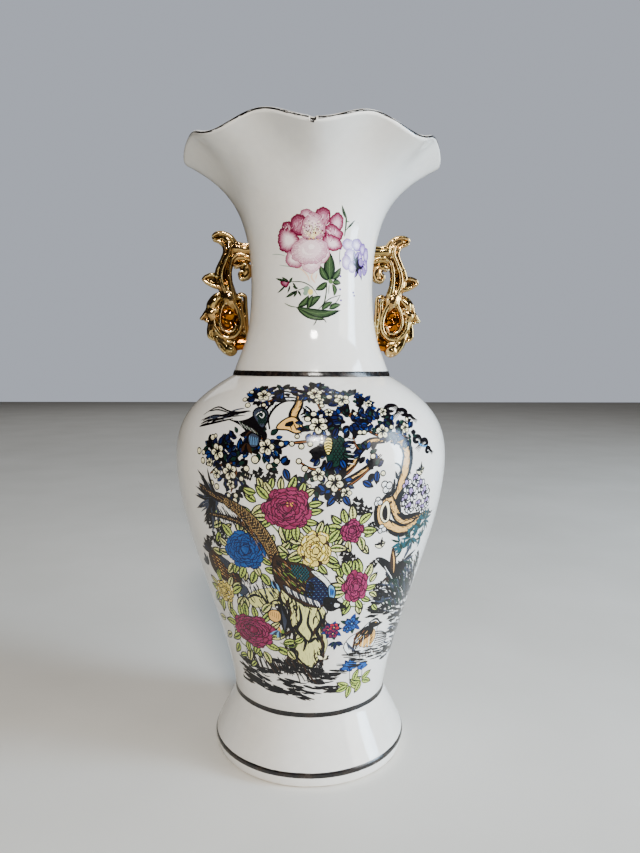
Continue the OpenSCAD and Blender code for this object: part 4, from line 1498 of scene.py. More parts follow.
# Dark seed heads: x, y, direction, length
SPRIGS = [
    (-18, 119, 1.3, 6), (-20, 119, 2.0, 6), (20, 105, 1.5, 7), (23, 104, 1.2, 5),
    (25, 100, 0.4, 4), (13, 90, 5.6, 6), (15, 88, 5.0, 6), (12, 94, 0.6, 5), (-42, 88, 2.6, 7),
    (-40, 91, 2.2, 6), (26, 78, 0.8, 5), (-49, 95, 1.8, 6), (-51, 92, 4.4, 6), (30, 64, 5.8, 5),
    (29, 68, 0.2, 5), (-25, 122, 2.8, 4), (10, 115, 5.5, 3),
]


def paint_peonies(p):
    """Peonies in their leaves, the heart of the garden."""
    p.motif = "leaves"
    for x, y, angle, length in SPRIGS:
        p.sprig(x, y, angle, length * 1.15)
    for path in ([(-22, 106), (-14, 99), (-10, 90), (-12, 84)], [(12, 104), (9, 96), (12, 86)],
                 [(-44, 103), (-40, 95), (-38, 84)], [(14, 66), (18, 60), (26, 60)],
                 [(-44, 50), (-36, 34), (-22, 32)], [(-14, 40), (-8, 38), (-4, 42)]):
        p.line(path, 0.7, "black", 0.3)
        p.line(path, 0.3, "moss", 0.3)
    for x, y, angle, length in BED_LEAVES:
        p.leaf((x, y), away((x, y), length, angle), length * 0.46,
               p.some(-0.5, 0.5), p.rng.choice(("lime", "lime", "straw")), "moss")
    p.motif = "peonies"
    for x, y, rx, ry, leaves, inks in PEONIES:
        p.leaves_round(x, y, rx * 0.86, ry * 0.86, leaves, 7, p.some(0, 1))
        p.dot(x, y, rx * 0.9, ry * 0.9, 0, 30, inks[0])
        p.peony(x, y, rx, ry, inks, p.some(0, 1), 52 if rx > 8 else 30)
    for _ in range(7):
        p.dot(-8.5 + p.some(-1.5, 1.5), 111.5 + p.some(-1, 1), 0.35, 0.3, 0, 6, "gold")
        p.dot(p.some(-1.2, 1.2), 92 + p.some(-1.5, 1.5), 0.35, 0.3, 0, 6, "sienna")
    for x, y in ((10, 47.5), (19.5, 49.8)):
        p.fan(x, y, 9, 0, 5.6, 6, 2.4, ("navy", "bottle", "royal"), 0.2)
    p.fan(12, 41, 5, 3.8, 1.8, 5, 2, ("navy", "bottle"))
    for x, y, ink in ((8.3, 48, "rose"), (11, 49, "red"), (10.5, 45.5, "rose")):
        p.blossom(x, y, 2.3, ink, "butter", "navy")
    for x, y, r in ((19.5, 50, 3.2), (17.5, 47.3, 2)):
        p.blossom(x, y, r, "blue", "sky", "navy")


def paint_pheasant(p):
    """The pheasant: a long barred tail that sweeps down to a rounded, scaled body."""
    p.motif = "pheasant"
    for k in range(60):
        a = 1.9 + 2.9 * k / 59
        x, y = -46 + p.some(-3, 3), 110 + p.some(-4, 4)
        reach = p.some(7, 15)
        p.area(blade((x, y), away((x, y), reach, a), p.some(0.9, 1.7),
                     p.some(-0.8, 0.8), 7), p.rng.choice(("black", "black", "black", "slate")))
    for k in range(16):
        x, y = -45 + 1.1 * k, 108 - 0.3 * k + p.some(-2.5, 1)
        p.line([(x, y), (x + 2, y - 2.5), (x + 3.5, y - 6 + p.some(-1.5, 1.5))], 0.7, "black",
               0.1)
    for path, width in (([(-52, 113), (-42, 112), (-33, 108), (-24, 100), (-17, 89)], 3.2),
                        ([(-56, 116), (-48, 113), (-40, 110)], 2.2),
                        ([(-50, 103), (-41, 103), (-31, 101), (-24, 94)], 1.4)):
        p.barred(path, width, "umber", "black", 1.2, "khaki")
    p.barred([(-40, 111), (-30, 106), (-21, 97), (-16, 87), (-13, 76)], 5.2, "khaki", "black",
             0.95, "umber")
    for hand in (-1, 1):
        for q, way, _ in along([(-38, 110), (-30, 106), (-21, 97), (-16, 87), (-13.5, 78)], 1.5):
            side = Vector((-way.y, way.x)) * hand
            p.line([q + side * 2.2, q - side * 1.6 + way * 2.4], 0.6, "black", 0.5, 1)
    for k in range(90):
        t = k / 89
        x, y = -40 + 26 * t ** 0.9 + p.some(-2.6, 2.6), 111 - 33 * t ** 1.25 + p.some(-2.2, 2.2)
        p.line([(x, y), (x + p.some(0.5, 1.6), y - p.some(1.2, 2.6))], p.some(0.5, 1.0), "black",
               0.2, 1)
    for k in range(80):
        t = k / 79
        x, y = -38 + 25 * t ** 0.9 + p.some(-1.8, 1.8), 110 - 32 * t ** 1.25 + p.some(-1.5, 1.5)
        p.line([(x, y), (x + 0.9, y - 1.9)], p.some(0.35, 0.6),
               ("khaki", "black", "sienna")[k % 3], 0.2, 1)
    back = [(-15.5, 87), (-10, 84.5), (-4, 83.5), (2, 80), (6.5, 75), (9.2, 69), (8.6, 63.5),
            (3, 60.8), (-4, 63), (-10, 67.5), (-14.5, 73), (-16.5, 80)]
    p.shape(back, "umber", line=0.5)
    for k in range(170):
        share = k / 169
        x, y = -15.5 + 19 * share + p.some(-2.4, 2.4), 84 - 18 * share + p.some(-5, 5)
        tip = (x + p.some(1.8, 3), y - p.some(2.2, 3.4))
        if inside((x, y), back) and inside(tip, back):
            p.area(blade((x, y), tip, 1.5, 0.1, 6), "black")
            p.area(blade((x, y), tip, 0.55, 0.1, 6), ("sienna", "umber", "khaki", "moss",
                                                      "umber")[k % 5])
    p.scales([(-9, 82.5), (-4, 83), (-0.5, 79.5), (-1.5, 75.5), (-5, 75.5), (-8.5, 79)], 1.3,
             0.85, "black", "teal")
    breast = [(-1, 75), (4, 77), (7.5, 72), (8.6, 66), (6.5, 62.6), (1, 62.5), (-3, 65),
              (-2, 70)]
    p.shape(breast, "navy", line=0.3)
    p.scales(breast, 1.35, 0.75, "black", "navy", 4.7)
    p.scales(breast, 1.9, 0.26, "sky", None, 4.7)
    for k in range(16):
        x, y = -1.5 + p.some(-2, 2), 68.5 + p.some(-6, 8)
        p.area(blade((x, y), (x + 1.5, y - 2), 1.1, 0, 5), "black")
    for k in range(15):
        x = -12 + 1.05 * k
        y = 71.5 - 0.75 * k + 0.012 * k * k
        p.area(blade((x, y + 1.4), (x + 1.8, y - 3.4), 1.5, 0.2, 6), "black")
        p.area(blade((x + 0.1, y + 1), (x + 1.7, y - 2.8), 0.8, 0.2, 6),
               "chalk" if k % 3 else "slate")
    for k in range(10):
        p.line([(-10 + 1.1 * k, 67.5 - 0.75 * k), (-9 + 1.1 * k, 65.5 - 0.7 * k)], 0.6, "black")
    p.shape([(0.5, 80), (4, 79), (8, 74.5), (10.4, 69), (9.4, 68), (6.5, 73.5), (2.5, 77.5)],
            "chalk", line=0.5)
    for k in range(16):
        x = 1.8 + 0.5 * k
        y = 79.4 - 0.5 * k - 0.045 * k * k + p.some(-0.5, 0.5)
        p.dot(x, y, 0.32, 0.3, 0, 6, "black")
    p.shape([(8.4, 72), (10.2, 71.5), (11, 67.5), (9.6, 64.6), (8.4, 67.5)], "sky", "black")
    for k in range(7):
        p.line([(8.7 + 0.28 * k, 71.4 - 0.2 * k), (9 + 0.3 * k, 66.2 + 0.1 * k)], 0.3,
               "cobalt" if k % 3 else "black")
    p.shape([(6.2, 65.4), (9.5, 65.8), (13, 63.2), (16.4, 59.6), (12.8, 59.6), (9.5, 58.4),
             (6.6, 60.5)], "black", line=0.3)
    p.shape([(11.2, 62.6), (13.4, 61.6), (12.4, 60.3), (10.8, 60.9)], "chalk", None)
    p.dot(9.4, 62.8, 0.34, 0.3, 0, 8, "slate")
    p.line([(-13, 70), (-13.6, 66), (-15.5, 63)], 0.9, "umber")
    for a in (3.6, 4.3, 5.2):
        p.line([(-13.6, 66), away((-13.6, 66), 3.4, a)], 0.45, "black")


def paint_second_bird(p):
    """The barred bird at the far left."""
    p.motif = "birds"
    p.fan(-52, 82, 6, 1.6, 1.2, 10, 2.2, ("black", "navy", "black"))
    p.fan(-56, 74, 5, 1.5, 1.4, 7, 2, ("black", "slate"))
    back = [(-54, 81), (-50, 84), (-44, 82), (-38, 78), (-33, 72), (-35, 69), (-42, 69.5),
            (-49, 71), (-53, 75)]
    p.shape(back, "umber", line=0.6)
    for row in range(6):
        for k in range(8):
            x = -52.5 + 1.9 * k + 0.6 * row
            y = 80.5 - 1.7 * row - 0.7 * k + 2
            if inside((x, y), back):
                p.area(blade((x, y), (x + 2, y - 0.8), 1.0, 0, 5), "black")
                p.area(blade((x + 0.1, y), (x + 1.7, y - 0.7), 0.6, 0, 5),
                       ("khaki", "sienna", "tan")[k % 3])
    p.shape([(-46, 82), (-40, 80.5), (-35, 76.5), (-38, 75), (-43, 78)], "slate", line=0.4)
    p.scales([(-46, 82), (-40, 80.5), (-35, 76.5), (-38, 75), (-43, 78)], 1.3, 0.6, "black")
    p.fan(-36, 67.5, 7, 3.2, 2.4, 7, 1.8, ("slate", "black", "sky"))
    p.shape([(-37, 69), (-33, 70), (-29.5, 67), (-31, 64), (-35, 64.5)], "slate", line=0.4)


def paint_small_birds(p):
    """The bird with the orange breast, the quail, the dark bird on the right and two in flight."""
    p.motif = "birds"
    p.shape([(-19, 56.5), (-16.5, 58), (-13.5, 57), (-13, 54), (-15.5, 51.6), (-18.5, 53)], "tan",
            line=0.6)
    p.shape([(-16, 61.5), (-13, 62), (-10.5, 59), (-10.2, 52), (-11, 45.5), (-13.2, 50),
             (-13.5, 56), (-15.5, 59)], "black", None)
    for k in range(7):
        p.line([(-19.6 + 1.1 * k, 57.6 - 0.2 * k), (-19 + 0.9 * k, 55.6 - 0.5 * k)], 0.5,
               "umber" if k % 2 else "black", 0.2, 1)
        p.line([(-13 + 0.35 * k, 60 - k), (-12.2 + 0.25 * k, 52), (-11.6, 47)], 0.22, "slate")
    p.line([(-18.6, 61.6), (-15.6, 63.6), (-12, 62.6), (-9.6, 58), (-9.4, 50)], 1.1, "black", 0.2)
    p.dot(-15, 60, 0.45, 0.45, 0, 8, "chalk")
    p.fan(-14, 47, 4, 3.6, 1.3, 6, 1.4, ("sky", "slate"))
    body = [(16, 37), (19, 42), (24, 44.5), (29, 48.5), (33, 49.3), (35.5, 47), (34, 43.5),
            (34.5, 38), (31, 33), (25, 30.6), (19.5, 31.5)]
    p.shape(body, "chalk", line=0.4)
    p.shape([(21, 41), (27, 43.5), (32, 44), (33.5, 39), (30, 34.5), (25, 35.5)], "tan",
            line=0.35)
    p.shape([(22, 43.5), (28, 47), (32, 45), (31, 41), (26, 38.5), (20.5, 33), (20.5, 37.5)],
            "black", None)
    for k in range(9):
        p.line([(22 + 1.1 * k, 42.5 - 0.2 * k), (20.6 + 1.3 * k, 37.5 - 0.5 * k),
                (20 + 1.5 * k, 34)], 0.3, ("sienna", "chalk", "gold")[k % 3])
    for k in range(14):
        p.line([(17 + 0.5 * k, 40.5 - 0.7 * k), (18.6 + 0.6 * k, 35 - 0.3 * k)], 0.42, "slate")
    for k in range(16):
        x, y = 22 + p.some(0, 11), 36 + p.some(0, 9)
        p.area(blade((x, y), (x - 2, y - 2.4), 1.1, 0.1, 5), "black")
        p.area(blade((x, y), (x - 1.6, y - 1.8), 0.4, 0.1, 5), ("tan", "chalk", "sienna")[k % 3])
    for k in range(60):
        x, y = p.some(14, 44), p.some(24, 34)
        p.line([(x - 2.4, y + 0.4), (x, y), (x + 2.6, y - 0.5)], p.some(0.4, 1.1), "black", 0.1)
    p.shape([(28.5, 47.5), (31, 50), (34, 50), (35.8, 47.5), (38, 46.2), (34.5, 45), (31, 45)],
            "black", None)
    p.line([(30, 48.6), (33, 48.8), (35, 47)], 0.5, "chalk")
    p.dot(33.2, 47.6, 0.35, 0.35, 0, 8, "gold")
    for k in range(7):
        p.line([(33, 42 - 1.4 * k), (38 + 0.5 * k, 40.5 - 1.3 * k), (43, 37 - 0.6 * k)],
               p.some(0.5, 0.9), "black")
    for k in range(6):
        p.line([(24 + 1.8 * k, 31.5), (25 + 1.8 * k, 28.2)], 0.4, "umber")
    wing = [(39.5, 88), (41, 85), (42.4, 80), (42, 74), (39.5, 77), (38.6, 82)]
    p.shape([(30, 84), (33, 84.2), (38, 81), (42, 77.5), (45, 79.5), (51, 79), (49, 74),
             (43, 70.5), (39, 72), (36.5, 76), (32.5, 80.5)], "black", None)
    p.shape(wing, "umber", line=0.3)
    for k in range(6):
        p.line([(39.6 + 0.3 * k, 86 - 1.4 * k), (41.6, 80 - 1.2 * k)], 0.3, "tan")
    for k in range(7):
        p.line([(35.5 + 0.7 * k, 79 - k), (37.5 + 0.6 * k, 75.5 - 0.8 * k)], 0.35, "chalk")
    p.dot(31.4, 83.2, 0.35, 0.3, 0, 8, "chalk")
    p.fan(47, 79, 6, -0.5, 1.6, 11, 1.7, ("black", "bottle", "slate"))
    p.fan(38, 73, 5, 3.6, 1.6, 5, 0.9, ("black", "umber"))
    paint_flight(p, 54.5, 123, 3)
    paint_flight(p, 32, 90.7, 2.7)


def paint_rocks(p):
    """Rocks, ground and grasses at the foot of the garden, in brush strokes."""
    p.motif = "ground"
    p.shape([(-13, 70), (-4, 64), (4, 61.5), (7, 57), (6, 49), (8, 41), (6, 33), (1, 27),
             (-5, 30), (-8, 38), (-6, 45), (-9, 52), (-10, 60), (-16, 66)], "straw",
            line=0.3)
    p.shape([(-30, 63), (-24, 68), (-15, 70), (-11, 64), (-13, 60), (-20, 60), (-26, 58)],
            "straw", line=0.3)
    for path in ([(-12, 66), (-9, 60), (-10, 52), (-7, 45), (-8, 37), (-4, 30), (1, 26)],
                 [(3, 61), (5, 54), (3, 47), (6, 40), (5, 33), (2, 27)],
                 [(-5, 62), (-4, 54), (-6, 48), (-2, 42), (-3, 36)],
                 [(0, 60), (-1, 52), (1, 46), (-1, 40)], [(7, 58), (6, 50), (8, 44)],
                 [(-30, 62), (-26, 65), (-22, 64)], [(-24, 68), (-20, 62), (-18, 58)],
                 [(-14, 69), (-13, 63), (-12, 58)], [(-2, 43), (0, 41.5), (2.5, 43.5), (4, 41)]):
        p.line(path, p.some(1.3, 2.2), "black", 0.1)
    for k in range(120):
        edge = p.rng.choice((-1, -1, 1))
        y = p.some(27, 66)
        x = -2 + 0.02 * (y - 46) + edge * p.some(4, 9)
        p.line([(x, y), (x + p.some(-1, 1), y - 2), (x + p.some(-1.2, 1.2), y - p.some(3, 6))],
               p.some(0.4, 1.0), p.rng.choice(("black", "black", "umber", "black")), 0.1)
    for k in range(90):
        x, y = p.some(-9, 6), p.some(29, 62)
        p.line([(x, y), (x + p.some(-0.6, 0.6), y - p.some(1.5, 4))], p.some(0.22, 0.4),
               "umber" if k % 3 else "black", 0.1, 1)
    for k in range(60):
        x, y = p.some(-34, -14), p.some(57, 77)
        p.line([(x, y), (x + 1.2, y - 2), (x + p.some(1, 3), y - p.some(3, 5))],
               p.some(0.4, 0.9), p.rng.choice(("black", "slate", "black")), 0.1)
    for k in range(9):
        p.line([(-22 + k, 77 - 0.6 * k), (-19 + 0.8 * k, 72 - 0.5 * k)], 0.9,
               ("navy", "sky", "black")[k % 3], 0.1)
    for k in range(520):
        x, y = p.some(-42, 16), p.some(8, 32)
        if noise.noise(Vector((x * 0.09 + 4, y * 0.26, 1))) < -0.06:
            continue
        if abs(y - 20 + 0.06 * x) > 12 or (x + 12) ** 2 / 900 + (y - 19) ** 2 / 120 > 1.05:
            continue
        reach = p.some(3, 9)
        p.line([(x - reach / 2, y + p.some(-0.6, 1.6)), (x, y), (x + reach / 2,
                y + p.some(-1.2, 0.4))], p.some(0.6, 1.5), "black", 0.05)
    for k in range(70):
        x, y = -34 + 0.55 * k, 31 - 0.06 * k + p.some(-4, 4)
        p.line([(x, y), (x + 1.5, y - 3), (x + p.some(2, 4.5), y - p.some(5, 8))],
               p.some(0.5, 0.9), "black" if k % 5 else "umber", 0.1)
    for k in range(300):
        x, y = p.some(28, 62), p.some(20, 73)
        if (x - 46) ** 2 / 330 + (y - 48) ** 2 / 700 > 1 or (x < 42 and y < 52):
            continue
        reach = p.some(3, 9)
        p.line([(x - reach / 2, y + p.some(0, 2)), (x, y), (x + reach / 2, y - p.some(0, 2))],
               p.some(0.6, 1.7), p.rng.choice(("black", "black", "black", "slate")), 0.05)
    for k in range(210):
        x, y = p.some(36, 62), p.some(57, 82)
        p.line([(x, y), (x + p.some(1, 3), y - p.some(2, 4)), (x + p.some(2, 5),
                y - p.some(4, 8))], p.some(0.5, 1.3),
               p.rng.choice(("black", "black", "black", "bottle", "slate")), 0.1)
    for x, y in ((30, 57.5), (33, 55), (36, 53), (40, 51), (44, 47), (42, 22.5), (46, 26),
                 (38, 55.4)):
        p.area(blade((x - 3, y), (x + 3, y - 0.8), 2, 0.5, 6), "black")
    for x, y, r in ((19.5, 24.8, 4.6), (26.6, 23.4, 3.6)):
        p.line([(x, y), (x + 0.3, 15)], 0.5, "bottle", 0.6, 1)
        p.fan(x, y - 0.5, 7, 0, 3.1, r * 1.15, r * 0.66, ("navy",), jitter=0)
        p.fan(x, y - 0.5, 7, 0, 3.1, r * 1.02, r * 0.48, ("blue", "cobalt"), jitter=0)
        p.fan(x, y - 0.5, 5, 3.6, 2.1, r * 0.6, r * 0.4, ("blue", "navy"))
        p.dot(x, y - 0.3, r * 0.2, r * 0.16, 0, 8, "navy")
    for x, y, a in ((19, 14, 2.7), (18.5, 14, 3.5), (19.5, 13.5, 4.5), (20.5, 14, 5.7),
                    (20, 15, 0.3), (26, 15, 2.8), (27, 14.5, 5.9), (27, 15.5, 0.5),
                    (26, 14.5, 4.2), (22, 16, 1.2)):
        p.leaf((x, y), away((x, y), 6.2, a), 2.6, 0.3, "lime", "moss", 0.42)
    p.fan(6, 31, 6, 0.3, 1.9, 4, 1.5, ("umber", "black", "cream"))
    p.fan(-14, 44, 5, 0.6, 2, 6, 1.7, ("umber", "moss", "gold"))


def make_garden():
    p = Print(7)
    paint_trunk(p)
    paint_rocks(p)
    paint_boughs(p)
    paint_streamer_bird(p)
    paint_hidden_bird(p)
    paint_second_bird(p)
    paint_peonies(p)
    paint_pheasant(p)
    paint_small_birds(p)
    p.cut({motif: "garden_" + motif for motif in
           ("boughs", "birds", "peonies", "leaves", "pheasant", "trunk", "ground")},
          "body_transfer")


# ---------- the bouquet printed on the neck ----------

# Washes from a dark edge to a pale middle: dark colour, pale colour, how many shades
WASHES = {"peony": ((98, 2, 40), (250, 230, 230), 8), "lilac": ((80, 44, 130), (232, 222, 244), 6),
          "foliage": ((12, 24, 18), (84, 108, 66), 5)}

for wash, (dark, pale, shades) in WASHES.items():
    for shade in range(shades):
        part = (shade / (shades - 1)) ** 0.8
        INKS[f"{wash}_{shade}"] = make_ink(f"{wash}_{shade}", [a + (b - a) * part
                                                               for a, b in zip(dark, pale)])

# Petals of the neck peony, back to front: focus of the pale middle, shades, outline
NECK_PETALS = [
    ((-2.5, 250.5), 2, 5, [(-5.5, 249), (-5, 252), (-3, 253), (-0.5, 252.3), (0.5, 250), (-2, 248)]),
    ((5, 249.5), 0, 3, [(1.5, 249), (2, 252.5), (4.5, 253.9), (7.4, 253), (8.2, 249.5), (7.5, 245),
                        (4.5, 245)]),
    ((11.5, 247), 0, 5, [(7.5, 246.5), (9, 250.3), (12, 252), (14.2, 250), (14.2, 246.5), (12, 243.6),
                         (9, 243.8)]),
    ((10.5, 243), 0, 4, [(6, 246), (9, 247), (12.4, 245), (14.6, 243), (12.8, 240), (9, 239),
                         (6, 241)]),
    ((9.5, 238.3), 0, 6, [(5, 241), (8, 242.3), (12, 241), (14.3, 238), (12, 235.7), (8, 235.5),
                          (5.3, 237.5)]),
    ((-11.5, 244.5), 0, 3, [(-14.2, 244.5), (-13.6, 247.3), (-11, 247.9), (-9, 246.6), (-8, 243.5),
                            (-11, 242.6)]),
    ((-6.5, 246), 0, 3, [(-10, 247.2), (-8.7, 250), (-6, 250.8), (-3.6, 249.6), (-3.4, 246),
                         (-4.6, 242), (-8, 242.2), (-9.8, 244.6)]),
    ((-10.5, 239.8), 0, 7, [(-16.3, 242), (-15, 244.6), (-12, 245), (-9, 243.6), (-6.4, 241),
                            (-6, 238.3), (-8.5, 235.8), (-12, 234.5), (-15.2, 236), (-16.2, 239)]),
    ((-9, 231.5), 2, 7, [(-12.2, 232.6), (-11, 234.9), (-8.8, 234.6), (-7.6, 231.6), (-5, 229.6),
                         (-5.2, 227.8), (-8.5, 227.6), (-11.2, 228.8), (-12.4, 230.8)]),
    ((5.8, 233.5), 4, 7, [(3, 237), (7, 236.5), (8, 233.4), (6, 230.2), (2.6, 230)]),
    ((0, 230), 5, 7, [(-4.8, 231), (-1, 233.5), (4, 232), (3.6, 228.3), (1, 225.3), (-2, 225.4),
                      (-4.6, 228)]),
    ((-1.5, 235.6), 4, 7, [(-9.8, 235), (-8, 238.4), (-4, 240.6), (1, 241), (6, 239), (6.9, 235),
                           (4.6, 231), (0, 229.2), (-5, 229.6), (-8.8, 231.6)]),
    ((0, 246.5), 3, 6, [(-4.4, 241), (-4.8, 245), (-3.4, 249), (0, 251.6), (3.4, 250.4), (5.4, 246.5),
                        (5.6, 242), (1, 240)]),
]


def paint_wash(p, outline, focus, wash, first=0, last=None, line=0.2, fade=0.62):
    """A petal with a frilled dark edge that fades to a pale middle round its focus."""
    last = WASHES[wash][2] - 1 if last is None else last
    outline = spline(outline, 6, closed=True)
    focus = Vector(focus)
    turn = p.some(0, 6)
    outline = [focus + (q - focus) * (1 + 0.035 * math.sin(turn + 0.9 * i)
                                      + 0.03 * math.sin(2.1 * i)) for i, q in enumerate(outline)]
    p.area(grow(outline, line), f"{wash}_{max(0, first - 3)}")
    for shade in range(first, last + 1):
        share = 1 - fade * ((shade - first) / max(1, last - first)) ** 1.2
        p.area([focus + (q - focus) * share * (1 + 0.12 * math.sin(1.7 * i + shade) * (1 - share))
                for i, q in enumerate(outline)], f"{wash}_{shade}")
    for i in range(0, len(outline), 2):
        if p.some(0, 1) < 0.75:
            reach = p.some(0.5, 0.85)
            tip = focus + (outline[i] - focus) * reach
            p.line([outline[i], tip.lerp(outline[i], 0.5) + Vector((p.some(-0.2, 0.2), 0)), tip],
                   0.17, f"{wash}_{max(0, first - 1)}", 0.1, 2)


def paint_dark_leaf(p, base, tip, width, bend=0.0):
    """A leaf in dark green washes with a pale midrib."""
    base, tip = Vector(base), Vector(tip)
    way = tip - base
    for shade, share in ((0, 1.0), (1, 0.78), (2, 0.5)):
        p.area(blade(base + way * 0.06 * shade, tip - way * 0.06 * shade, width * share, bend),
               f"foliage_{shade}")
    side = Vector((-way.y, way.x)) / way.length
    middle = base + way * 0.5 + side * bend
    p.line([base, middle, tip - way * 0.1], 0.26, "foliage_4", 0.3, 3)
    for t in (0.3, 0.45, 0.6, 0.75):
        root = base + way * t + side * bend * 4 * t * (1 - t)
        for hand in (-1, 1):
            p.line([root, root + way * 0.13 + side * hand * width * 0.3], 0.14, "foliage_4",
                   0.2, 1)


def paint_bouquet(p):
    p.motif = "bouquet"
    for path, width, ink in (
            ([(-20, 234), (-16, 233.8), (-12.5, 232.8)], 0.3, "sage"),
            ([(-16, 229), (-11, 228.2), (-7, 228)], 0.3, "sage"),
            ([(-7.5, 228), (-4, 226), (-1.6, 223), (-1.4, 221)], 0.5, "peach"),
            ([(0.4, 225), (-0.2, 223), (1.6, 220.5)], 0.7, "peach"),
            ([(2.4, 225), (1.6, 222)], 0.5, "peach"),
            ([(2.6, 215), (0, 218.6), (-4, 220.8), (-8, 221.2), (-12, 221)], 0.45, "foliage_1"),
            ([(-1, 218.2), (-4, 218), (-7, 217)], 0.4, "foliage_1"),
            ([(7, 221), (6.6, 216), (5.6, 211.4), (3, 208.6)], 0.6, "foliage_1"),
            ([(8, 220), (7.8, 215.6)], 0.4, "foliage_3"),
            ([(4.6, 210.4), (8.5, 213.6), (13.8, 215.4)], 0.45, "foliage_1"),
            ([(10, 210.6), (12, 212.6), (13.8, 215.6)], 0.4, "foliage_1"),
            ([(-13, 211.4), (-10, 210), (-6.6, 209.4)], 0.5, "foliage_3"),
            ([(2.6, 204.6), (1.8, 202.6), (0.8, 201)], 0.5, "foliage_1"),
            ([(5, 204.6), (6, 203.6), (6.8, 202.4)], 0.45, "foliage_0"),
            ([(15.3, 242), (15.9, 246), (16, 250), (14.8, 253), (13.6, 255.4)], 0.9, "foliage_2"),
            ([(16.2, 244.8), (18, 247), (20.9, 249.6)], 0.6, "foliage_2"),
            ([(16, 248.7), (17.8, 248.7)], 0.5, "foliage_2"),
            ([(13.4, 238), (13, 233), (13.2, 229)], 0.3, "foliage_1")):
        p.line(path, width, ink, 0.15)
    for x, y in ((13.4, 231), (13.6, 224), (13.5, 218), (14, 213), (21, 217), (21.6, 215.6)):
        p.dot(x, y, 0.55, 0.5, 0, 8, "violet")
    for base, tip, width, bend in (((17.6, 246), (20.6, 249.4), 0.9, 0.1),
                                   ((15.6, 250), (13.7, 255.4), 1.1, 0.2)):
        p.area(blade(base, tip, width, bend), "foliage_1")
    for x, y, rx, ry in ((17.6, 238.6, 3.2, 2.6), (23, 239, 3.4, 2.8), (27, 237.4, 2.4, 2.8),
                         (30, 235, 2.2, 3.6), (19, 233.8, 3.4, 3), (16.8, 230.6, 2.4, 3.4),
                         (29.4, 229.6, 2.6, 3.4), (24.4, 233.4, 2.6, 2.6), (20, 228.6, 2.2, 2.6)):
        petal = [(x + rx * math.cos(a), y + ry * math.sin(a)) for a in
                 (0, 0.9, 1.8, 2.7, 3.6, 4.5, 5.4)]
        paint_wash(p, petal, (x - 0.3, y - 0.4), "lilac", 1 if x > 22 else 2, 5 if x < 26 else 4,
                   0.1, 0.7)
    for tip, width in (((21, 236.4), 2.2), ((24.6, 235.6), 1.8), ((28, 232.4), 2.6),
                       ((30.4, 228), 2.4), ((26.8, 223), 2), ((21.6, 223.8), 2.2),
                       ((20.4, 232), 2), ((30, 230.5), 1.4)):
        p.area(blade((23.6, 229.6), tip, width, 0.5), "black")
        middle = Vector((23.6, 229.6)).lerp(Vector(tip), 0.45)
        p.area(blade(middle, Vector(tip).lerp(middle, 0.12), width * 0.4, 0.2, 5), "lilac_1")
    p.dot(23.4, 229.8, 1.5, 2.4, 0.3, 12, "black")
    for x, y, rx, ry in ((26, 231.5, 1.5, 1.7), (28.6, 227.6, 1.2, 1.9), (25.6, 226.6, 1.1, 1.5)):
        p.dot(x, y, rx + 0.35, ry + 0.35, 0.3, 12, "violet")
        p.dot(x, y, rx, ry, 0.3, 12, "lilac_2")
        p.line([(x, y + ry), (x + 0.3, y), (x, y - ry)], 0.3, "violet")
    p.area(blade((13.6, 235.8), (13.8, 239.6), 1.7, 0.3), "violet")
    for base, tip, width, bend in (
            ((8.4, 221.6), (8.2, 234.6), 5.6, 0.2), ((7.6, 221.6), (3.6, 228.6), 3.4, 0.5),
            ((9.4, 222.2), (13.8, 228), 3.0, -0.4), ((7, 221), (1.6, 217.3), 3.0, 0.5),
            ((9.6, 221), (13.9, 220.8), 2.8, 0.3), ((9.6, 220.4), (10.4, 214.8), 2.2, 0.9),
            ((-6.4, 209.6), (-1.4, 215), 3.0, -0.8), ((-2.4, 209), (4.3, 214.8), 3.6, 0.6),
            ((-1.6, 209), (0.4, 215.2), 2.4, 0.3), ((-7.6, 209.6), (14, 208.4), 4.4, -2.6),
            ((4.6, 208.4), (9.8, 212.2), 2.6, 0.4), ((8, 208.8), (14, 211), 2.8, 0.5),
            ((-7, 209.2), (6.4, 203.8), 2.4, -1.4)):
        paint_dark_leaf(p, base, tip, width, bend)
    p.dot(8.7, 221.4, 1.1, 1.1, 0, 10, "foliage_4")
    for x, y, rx, ry in ((-2.4, 217.6, 1.5, 1.6), (-0.6, 216.4, 1.2, 1.4), (-3, 215.8, 1.1, 1)):
        p.dot(x, y, rx, ry, 0, 10, "sage" if x < -2 else "butter")
    paint_wash(p, [(-15, 220.6), (-14, 222.4), (-12, 222.2), (-11, 220.4), (-12.6, 218.8)],
               (-12.4, 220.6), "peony", 0, 3, 0.3, 0.7)
    for base, tip, width in (((-12.4, 221.6), (-18, 223.2), 1.2), ((-11, 221), (-14.5, 223.6), 1.5),
                             ((-10.6, 220.4), (-9, 223.2), 1.3), ((-12.6, 219.6), (-17, 216.2), 1),
                             ((-10.4, 219.6), (-11.6, 216), 0.9), ((-9, 220.8), (-7.4, 217.4), 1),
                             ((-7.4, 217), (-12.6, 214), 1.5), ((-7, 217.4), (-8.6, 214), 1.2),
                             ((-6.6, 217), (-5, 214.4), 1), ((-6.4, 218), (-9, 219.2), 1.1)):
        p.area(blade(base, tip, width, 0.2, 6), "foliage_0")
        p.area(blade(Vector(base).lerp(Vector(tip), 0.2), tip, width * 0.35, 0.2, 5), "foliage_2")
    for focus, first, last, outline in NECK_PETALS:
        paint_wash(p, outline, focus, "peony", first, last)
    for x, y, rx, ry in ((-7, 247, 2.6, 2.4), (6, 246.5, 2.2, 4), (-11.4, 245.4, 2, 1.6),
                         (8, 242, 2.4, 2.6), (0, 247, 3.6, 3.6)):
        for _ in range(12):
            root = Vector((x + p.some(-rx, rx), y + p.some(-ry, ry)))
            way = turned_by((p.some(0.6, 1.4), 0), p.some(0.6, 2.6))
